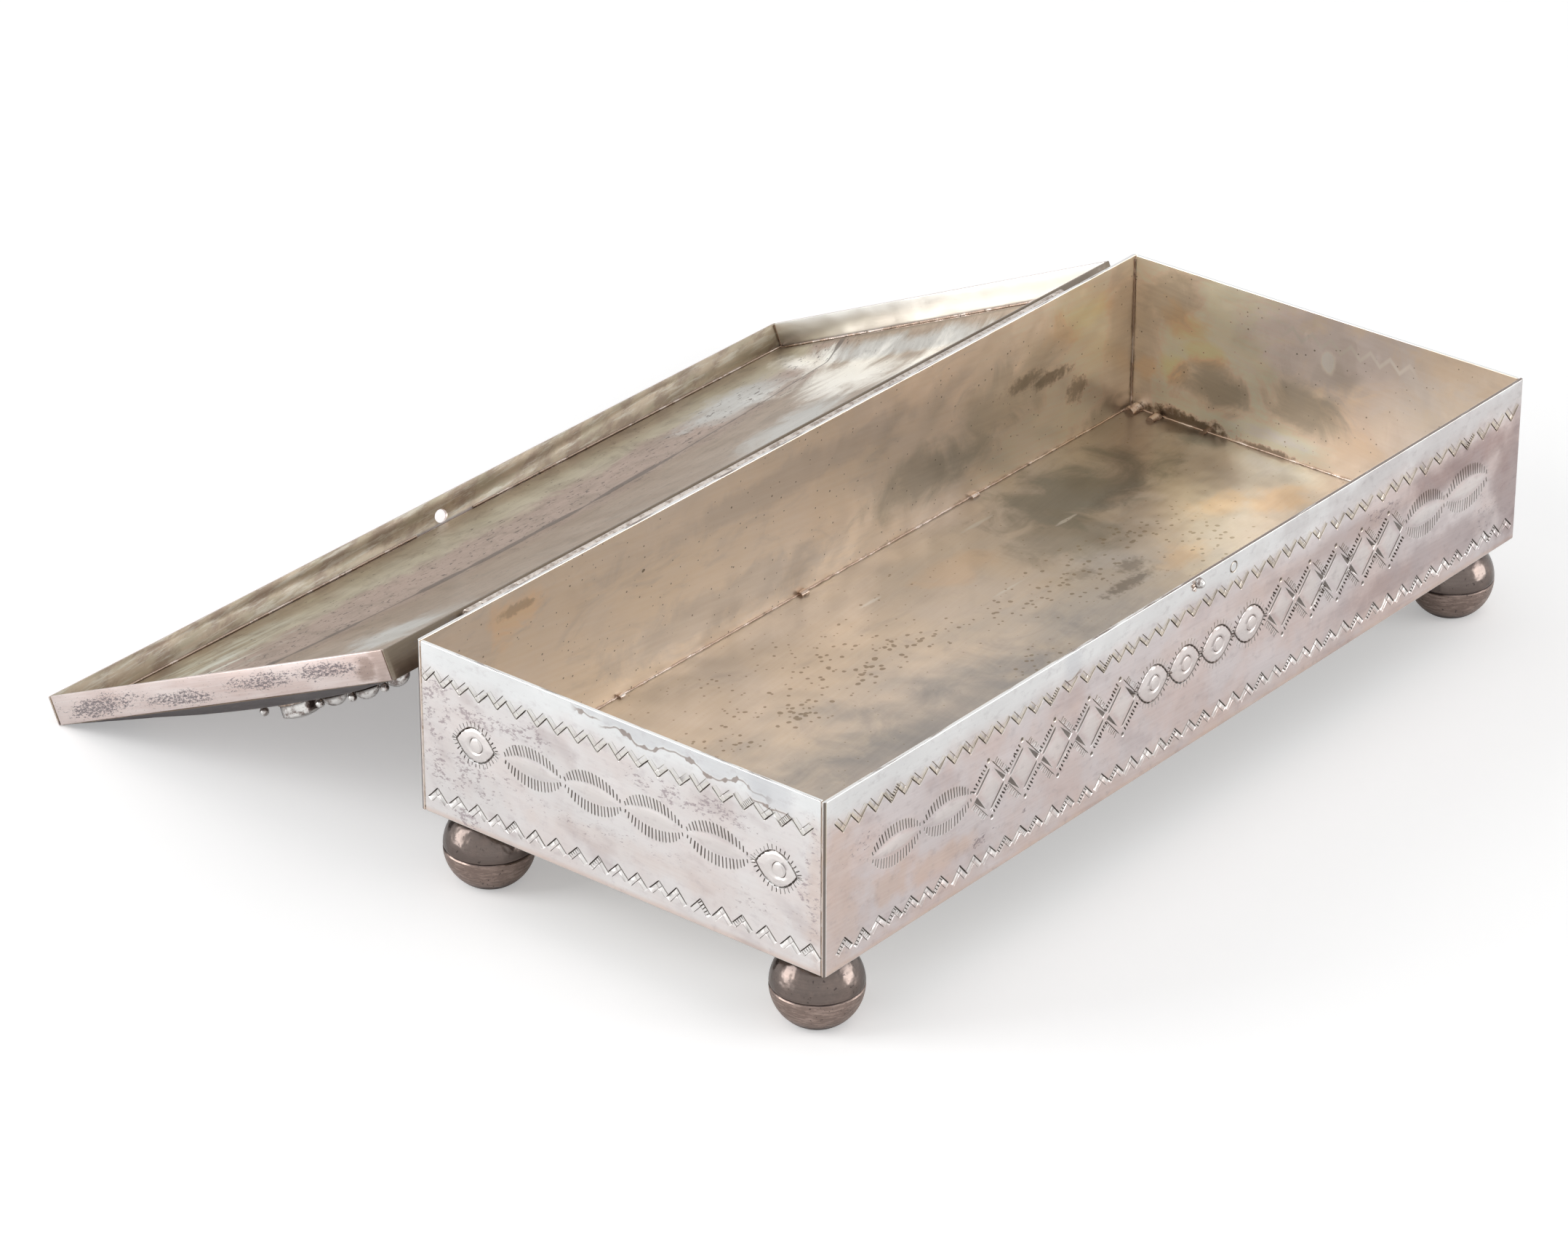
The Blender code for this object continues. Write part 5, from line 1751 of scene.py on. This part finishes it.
@dataclass
class Lid:
    """The lid: its crowned panel, its flange strips, and the solder in its folds."""

    place: LidPlace = field(default_factory=LidPlace)
    columns: int = 180
    rows: int = 84
    dent_mm: float = 0.10
    # Painted shade: the back strip faces the box's back wall in shadow, so it is painted dark
    # brown all over.
    shaded_back_strip: RosyStrip = RosyStrip(
        brown=(0.19, 0.155, 0.115), rosy=(0.30, 0.25, 0.20), browned_and_shaded=((120, 3, 400, 30, 0.9),),
        paled=()
    )

    def lines(self, half: float, count: int) -> list[float]:
        """Return grid lines over the panel, from edge to edge."""
        reach = half - self.place.sizes.inset
        return [reach * (2 * index / count - 1) for index in range(count + 1)]

    def dent(self, along: float, across: float) -> float:
        """Return how far the hammer left a place of the panel proud, which fades at the folds."""
        sizes = self.place.sizes
        dent = noise.noise(Vector((along, across, 0.0)) / (21 * MM)) * self.dent_mm
        dent += noise.noise(Vector((across, along, 3.0)) / (9 * MM)) * self.dent_mm * 0.4
        edge = min(sizes.length / 2 - abs(along), sizes.depth / 2 - abs(across))
        return dent * (min(1.0, max(0.0, edge / MM - 1.2) / 6) * MM)

    def panel_mesh(self) -> bpy.types.Mesh:
        """Return the panel as two fine skins, with the dents of hand raising."""
        sizes, place, step = self.place.sizes, self.place.matrix(), 0.2 * MM
        outer, inner, faces = [], [], []
        for along in self.lines(sizes.length / 2, self.columns):
            for across in self.lines(sizes.depth / 2, self.rows):
                here = sizes.height(along, across)
                slope_x = (sizes.height(along + step, across) - here) / step
                slope_y = (sizes.height(along, across + step) - here) / step
                normal = Vector((-slope_x, -slope_y, 1)).normalized()
                point = Vector((along, across, here + self.dent(along, across)))
                outer.append(place @ point)
                inner.append(place @ (point - normal * sizes.sheet))
        count, total = self.rows + 1, len(outer)
        for column in range(self.columns):
            for row in range(self.rows):
                first = column * count + row
                quad = (first, first + count, first + count + 1, first + 1)
                faces += [quad, tuple(total + index for index in reversed(quad))]
        last = self.columns * count
        rim = [*range(0, last, count), *range(last, last + self.rows)]
        rim += [*range(last + self.rows, self.rows, -count), *range(self.rows, 0, -1)]
        for corner, after in zip(rim, rim[1:] + rim[:1]):
            faces.append((corner, after, total + after, total + corner))
        return closed_mesh("lid_panel_raised", outer + inner, faces)

    def panel_material(self) -> bpy.types.Material:
        """Return the panel's material, tarnished inside and brushed outside."""
        bench = NodeBench("lid_panel_silver", self.place.inner_frame())
        inside = bench.ease(bench.facing(bench.face.normal), -0.2, 0.2)
        coat = LidOutside().coat(bench)
        coat.over(inside, LidInside().coat(bench).colour)
        return bench.sheet(coat.colour, 0.36, bench.less(0.14, bench.times(inside, 0.14)))

    def strip_frames(self) -> dict[str, FaceFrame]:
        """Return each strip's outer face: u along it, v from its rim to its fold."""
        inner, sizes = self.place.inner_frame(), self.place.sizes
        u_axis, v_axis, rise = inner.u_axis, inner.v_axis, -inner.normal
        low = inner.point(0, 0, sizes.flange_height / MM)
        right, far = low + u_axis * sizes.length, low + v_axis * sizes.depth
        return {
            "lid_left_flange": FaceFrame(low, v_axis, rise, -u_axis),
            "lid_right_flange": FaceFrame(right, v_axis, rise, u_axis),
            "lid_back_flange": FaceFrame(low, u_axis, rise, -v_axis),
            "lid_front_flange": FaceFrame(far, u_axis, rise, v_axis),
        }

    def strip_material(self, name: str, face: FaceFrame) -> bpy.types.Material:
        """Return a flange strip's material."""
        bench = NodeBench(name + "_silver", face)
        strip = RosyStrip(creamed=0.9 if name == "lid_right_flange" else 0.0)
        # The back strip's dark colours are painted shade.
        if name == "lid_back_flange":
            strip = self.shaded_back_strip
        inside = bench.ease(bench.parts()[2], -0.55, -0.72)
        return bench.sheet(bench.tint(inside, strip.outer(bench), strip.inner(bench)), 0.36)

    def seams(self) -> list[Run]:
        """Return the runs of solder in the folds and corners, clear of the catch bead."""
        inner, sizes = self.place.inner_frame(), self.place.sizes
        long, deep = sizes.length / MM, sizes.depth / MM
        inset, outset, sheet, slope_end = 0.95, 0.85, 0.75, 0.45
        lines = []
        for v in (inset, deep - inset):
            lines.append(((inset, v, 0.15), (long - inset, v, 0.15), 0.30))
            for first, last in ((inset, 112.0), (131.0, long - inset)):
                lines.append(((first, v, sheet), (last, v, sheet), 0.27))
        for u, outer in ((inset, 0.5), (long - inset, long - 0.5)):
            lines.append(((u, inset, slope_end), (u, deep - inset, slope_end), 0.32))
            lines.append(((u, inset, 0.0), (u, deep - inset, 0.0), 0.30))
            for v in (outset, deep - outset):
                lines.append(((outer, v, 0.3), (outer, v, 6.2), 0.24))
        return [Run([inner.point(*start), inner.point(*end)], size) for start, end, size in lines]

    def build(self) -> None:
        """Raise the panel and set its strips."""
        mesh, material = self.panel_mesh(), self.panel_material()
        add_piece("raised_lid_panel", mesh, "lid", ["lid_panel"], material)
        for name, face in self.strip_frames().items():
            mesh, material = node_copy(name, 0.12), self.strip_material(name, face)
            add_piece("strip_" + name, mesh, "lid", [name], material)


@dataclass
class Ornaments:
    """The bosses, drops and leaves on the lid's outside."""

    place: LidPlace = field(default_factory=LidPlace)
    boss_from_end: float = 0.0144
    off_middle: float = 0.0066
    boss_radius_mm: float = 4.3
    boss_height_mm: float = 2.8
    boss_sheet_mm: float = 0.5
    dome_crown_mm: float = 0.8
    spray_from_end: float = 0.0120
    pitch: float = 0.0103
    boss_to_drop: float = 0.0089
    drop_radius_mm: float = 1.0
    leaf_mm: Triple = (8.0, 4.0, 2.1)
    leaves: int = 3
    bed_mm: float = 0.45
    collar_mm: float = 0.42

    def boss_seat(self, end: int) -> Matrix:
        """Return where a boss stands."""
        along = end * (self.place.sizes.length / 2 - self.boss_from_end)
        return self.place.seat(along, self.off_middle, 0.3 * MM)

    def setting(self, end: int) -> bpy.types.Mesh:
        """Return the round setting, with a soldered foot and a thin rubbed-over lip."""
        radius, height = self.boss_radius_mm, self.boss_height_mm
        inner = radius - self.boss_sheet_mm
        profile = [
            (inner - 0.05, height - 0.25), (inner + 0.05, height - 0.02), (radius - 0.2, height),
            (radius - 0.04, height - 0.16), (radius - 0.02, height - 0.5), (radius - 0.06, 0.9),
            (radius - 0.02, 0.3), (radius, 0.02), (inner, -0.05), (inner - 0.05, height - 0.25),
        ]
        return lathe_mesh("setting", profile, 72, self.boss_seat(end))

    def dome(self, end: int) -> bpy.types.Mesh:
        """Return the polished dome that the setting holds."""
        inner = self.boss_radius_mm - self.boss_sheet_mm - 0.05
        profile = dome_profile(inner, self.dome_crown_mm + 0.25, 12, self.boss_height_mm - 0.25)
        return lathe_mesh("dome", [*profile, (inner, 0.05), (0.0, 0.05)], 72, self.boss_seat(end))

    def drop(self, seat: Matrix) -> bpy.types.Mesh:
        """Return a round drop with a little foot of solder."""
        radius = self.drop_radius_mm
        turns = [math.pi * step / 14 for step in range(12)]
        profile = [(radius * math.sin(turn), radius + radius * math.cos(turn)) for turn in turns]
        profile += [(radius * 0.62, 0.05), (radius * 0.78, -0.28), (0.0, -0.28)]
        return lathe_mesh("drop", profile, 28, seat)

    def leaf(self, seat: Matrix) -> bpy.types.Mesh:
        """Return a leaf with a flat back, a rounded crest and two points."""
        long, wide, high = self.leaf_mm
        steps, row = 28, 15
        points = []
        for step in range(1, steps):
            x = -1 + 2 * step / steps
            share = 1 - x * x
            for side in range(row):
                angle = math.pi * side / (row - 1)
                rise = math.sin(angle) ** 0.9 * high * share
                points.append((x * long / 2, math.cos(angle) * wide / 2 * share, rise))
        lifts = [point[2] for point in points] + [0.0, 0.0]
        faces = tube_faces(steps - 1, row)
        for tip, first in ((-1, 0), (1, (steps - 2) * row)):
            points.append((tip * long / 2, 0, 0.02))
            for side in range(row):
                faces.append((first + side, first + (side + 1) % row, len(points) - 1))
        verts = [seat @ (Vector(point) * MM) for point in points]
        return closed_mesh("leaf", verts, faces, lifts)

    def spray(self, end: int) -> bpy.types.Mesh:
        """Return the drops and leaves of one end."""
        along = end * (self.place.sizes.length / 2 - self.spray_from_end)
        first = self.off_middle + self.boss_to_drop
        drops = [self.off_middle - self.boss_to_drop]
        drops += [first + index * self.pitch for index in range(self.leaves)]
        lift = 0.3 * MM
        meshes = [self.drop(self.place.seat(along, across, lift)) for across in drops]
        for index in range(self.leaves):
            seat = self.place.seat(along, first + (index + 0.5) * self.pitch, lift)
            meshes.append(self.leaf(seat @ Matrix.Rotation(math.pi / 2, 4, "Z")))
        bm = bmesh.new()
        for mesh in meshes:
            bm.from_mesh(mesh)
        return plain_mesh("spray", bm)

    def seams(self) -> list[Run]:
        """Return the solder under the bosses, drops and leaves."""
        first = self.off_middle + self.boss_to_drop - 1.5 * MM
        reach = (self.leaves - 0.5) * self.pitch + 1.5 * MM
        steps, runs = 24, []
        for end in (-1, 1):
            along = end * (self.place.sizes.length / 2 - self.spray_from_end)
            seats = [
                self.place.seat(along, first + reach * step / steps, 0.0)
                for step in range(steps + 1)
            ]
            runs.append(Run([seat.to_translation() for seat in seats], self.bed_mm))
            ring = self.boss_radius_mm - 0.1
            runs.append(ring_run(self.boss_seat(end), ring, -0.2, self.collar_mm))
        return runs

    def build(self) -> None:
        """Set all the ornaments."""
        polished = SmallSilver().material("polished_ornament", Shine.POLISHED, 0.9)
        for name, end in (("left", -1), ("right", 1)):
            numbers = range(1, self.leaves + 2)
            spray = [f"drop_{name}_{number}" for number in numbers]
            spray += [f"leaf_{name}_{number}" for number in numbers[:-1]]
            for kind, mesh, nodes in (
                ("setting", self.setting(end), [f"boss_{name}_setting"]),
                ("boss_dome", self.dome(end), [f"boss_{name}_dome"]),
                ("spray", self.spray(end), spray),
            ):
                add_piece(f"{kind}_{name}", mesh, "lid", nodes, polished, 60.0)


@dataclass
class HingeWork:
    """The hinge's bearer, knuckles and pin, and the catch bead."""

    bead_proud_mm: float = 1.6
    bead_radius_mm: float = 1.2
    nodes: Sequence[tuple[str, str]] = (
        ("box", "hinge_bearer"), ("box", "knuckle_left_collar"), ("box", "knuckle_middle"),
        ("box", "knuckle_right_collar"), ("box", "hinge_pin"), ("lid", "knuckle_left_lid"),
        ("lid", "knuckle_right_lid"),
    )

    def build(self) -> None:
        """Dress the hinge and the catch."""
        silver = SmallSilver(bright=(0.66, 0.60, 0.55), dim=(0.36, 0.30, 0.26))
        dull = silver.material("hinge_silver_worn", Shine.DULL, 0.0)
        for body, name in self.nodes:
            mesh = node_copy(name, 0.08)
            add_piece("worn_" + name, mesh, body, [name], dull, 40.0)
        low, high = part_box("catch_bead")
        place = (low + high) / 2
        place.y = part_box("front_wall")[0].y
        profile = dome_profile(self.bead_radius_mm, self.bead_proud_mm, 9)
        profile += [(self.bead_radius_mm, -0.3), (0.0, -0.3)]
        turned = Matrix.Translation(place) @ Matrix.Rotation(math.pi / 2, 4, "X")
        mesh = lathe_mesh("bead", profile, 36, turned)
        polished = SmallSilver(shade_reach_mm=0.6).material("polished_bead", Shine.POLISHED, 0.7)
        add_piece("catch_bead_dome", mesh, "box", ["catch_bead"], polished, 50.0)

    @staticmethod
    def seams() -> list[Run]:
        """Return the flecks of solder beside the bead, and the runs behind the bearer."""
        face = wall_frames()["front_wall"]
        low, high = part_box("catch_bead")
        middle = ((low + high) / 2 - face.origin) / MM
        runs = []
        for angle in (150, 180, 210, 235):
            x, y = math.cos(math.radians(angle)), math.sin(math.radians(angle))
            start = face.point(middle.x + x * 1.3, middle.z + y * 1.2)
            runs.append(Run([start, face.point(middle.x + x * 2.2, middle.z + y * 1.8)], 0.34))
        low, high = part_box("hinge_bearer")
        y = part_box("back_wall")[1].y + 0.15 * MM
        for z in (low.z + 0.4 * MM, high.z - 0.6 * MM):
            runs.append(straight((low.x + MM, y, z), (high.x - MM, y, z), 0.3))
        return runs


# Studio


@dataclass(frozen=True)
class Studio:
    """The camera, lamps, world and floor."""

    camera_place: Triple = (-0.879000, -0.714337, 0.606303)
    azimuth: float = 50.757229
    dip: float = 27.826017
    lens_mm: float = 136.49693
    sensor_mm: float = 36.0
    floor_size: float = 12.0
    floor_colour: Colour = (0.95, 0.95, 0.95)
    white: Colour = (1.0, 1.0, 1.0)
    floor_glow: float = 0.145
    mirrored_glow: float = 0.05
    glow_level: float = 2.35
    sky: float = 0.50
    sun: float = 0.3
    sun_degrees: float = 70.0
    sun_bearing: Triple = (0.10, -0.15, 1.0)
    box_distance: float = 1.3
    boxes: Sequence[tuple[Triple, Point, float]] = (
        ((-0.75, 0.66, 0.40), (0.70, 1.12), 4.4), ((0.53, -0.85, 0.20), (0.82, 0.68), 4.4),
    )

    def camera(self) -> None:
        """Set the camera where the photograph was taken from."""
        data = bpy.data.cameras.new("camera")
        data.lens = self.lens_mm
        data.sensor_width = self.sensor_mm
        data.sensor_fit = "HORIZONTAL"
        camera = linked("camera", data)
        azimuth, dip = math.radians(self.azimuth), math.radians(self.dip)
        ahead = Vector(
            (math.cos(dip) * math.sin(azimuth), math.cos(dip) * math.cos(azimuth), -math.sin(dip))
        )
        camera.location = self.camera_place
        camera.rotation_euler = ahead.to_track_quat("-Z", "Y").to_euler()
        bpy.context.scene.camera = camera

    @staticmethod
    def lamp(name: str, kind: str, bearing: Triple) -> bpy.types.Object:
        """Return a new lamp that shines from a bearing towards the middle of the scene."""
        lamp = linked(name, bpy.data.lights.new(name, kind))
        lamp.rotation_euler = Vector(bearing).to_track_quat("Z", "Y").to_euler()
        return lamp

    def lamps(self) -> None:
        """Hang one wide soft lamp overhead, and stand a soft box to either side."""
        sun = self.lamp("overhead", "SUN", self.sun_bearing).data
        sun.energy, sun.angle = self.sun, math.radians(self.sun_degrees)
        for number, (bearing, size, level) in enumerate(self.boxes):
            way = Vector(bearing).normalized()
            lamp = self.lamp(f"soft_box_{number}", "AREA", way)
            lamp.location = way * self.box_distance
            lamp.visible_camera = False
            data = lamp.data
            data.shape = "RECTANGLE"
            data.size, data.size_y = size
            data.energy = level * math.pi * data.size * data.size_y

    def world(self) -> None:
        """Surround the scene with white, at a plain level for diffuse light."""
        world = bpy.data.worlds.new("studio")
        world.use_nodes = True
        bench = TreeBench()
        bench.tree = world.node_tree
        rays = bench.node("ShaderNodeLightPath").outputs
        seen = bench.math("MAXIMUM", rays["Is Camera Ray"], rays["Is Glossy Ray"])
        seen = bench.math("MAXIMUM", seen, rays["Is Transmission Ray"])
        level = bench.node("ShaderNodeMapRange", {"Value": seen, "To Min": self.sky})
        back = bench.tree.nodes["Background"]
        bench.feed(back.inputs["Color"], self.white)
        bench.feed(back.inputs["Strength"], level.outputs[0])
        bpy.context.scene.world = world

    def floor(self) -> None:
        """Lay a plain pale floor under the feet, white where nothing shades it."""
        bench = NodeBench("floor_paint")
        paint = bench.finish(self.floor_colour, 0.9, metallic=0.0)
        rays = bench.node("ShaderNodeLightPath").outputs
        seen = bench.times(rays["Is Camera Ray"], self.floor_glow)
        for name in ("Is Glossy Ray", "Is Transmission Ray"):
            seen = bench.math("MAXIMUM", seen, bench.times(rays[name], self.mirrored_glow))
        feeds = {"Color": self.white, "Strength": self.glow_level}
        glow = bench.node("ShaderNodeEmission", feeds).outputs[0]
        feeds = {0: seen, 1: bench.shader.outputs[0], 2: glow}
        mixed = bench.node("ShaderNodeMixShader", feeds).outputs[0]
        bench.feed(bench.tree.nodes["Material Output"].inputs[0], mixed)
        half = self.floor_size / 2
        mesh = bpy.data.meshes.new("floor")
        corners = [(-half, -half, 0), (half, -half, 0), (half, half, 0), (-half, half, 0)]
        mesh.from_pydata(corners, [], [(0, 1, 2, 3)])
        mesh.materials.append(paint)
        linked("studio_floor", mesh)

    def build(self) -> None:
        """Set up the whole studio."""
        self.camera()
        self.lamps()
        self.world()
        self.floor()
        bpy.context.scene.view_settings.view_transform = "Standard"


def main() -> None:
    """Build the studio and dress every part of the box."""
    logging.basicConfig(level=logging.INFO, format="%(name)s: %(message)s")
    Studio().build()
    Walls().build(StampingBench())
    tray, balls, lid, ornaments, hinge = TrayFloor(), BallFeet(), Lid(), Ornaments(), HingeWork()
    tray.dress()
    for part in (balls, lid, ornaments, hinge):
        part.build()
    solder = SolderBench()
    box_runs = tray.seams() + balls.seams() + hinge.seams()
    mesh = solder.lay("tray_solder", box_runs, seed=3.0, share_dark=0.4)
    add_piece("tray_solder", mesh, "box", sharp_degrees=60.0)
    lid_runs = lid.seams() + ornaments.seams()
    mesh = solder.lay(
        "lid_solder", lid_runs, seed=8.0, share_dark=0.55, lumps=0.8, stray=0.14
    )
    add_piece("lid_solder", mesh, "lid", sharp_degrees=60.0)


if __name__ == "__main__":
    main()
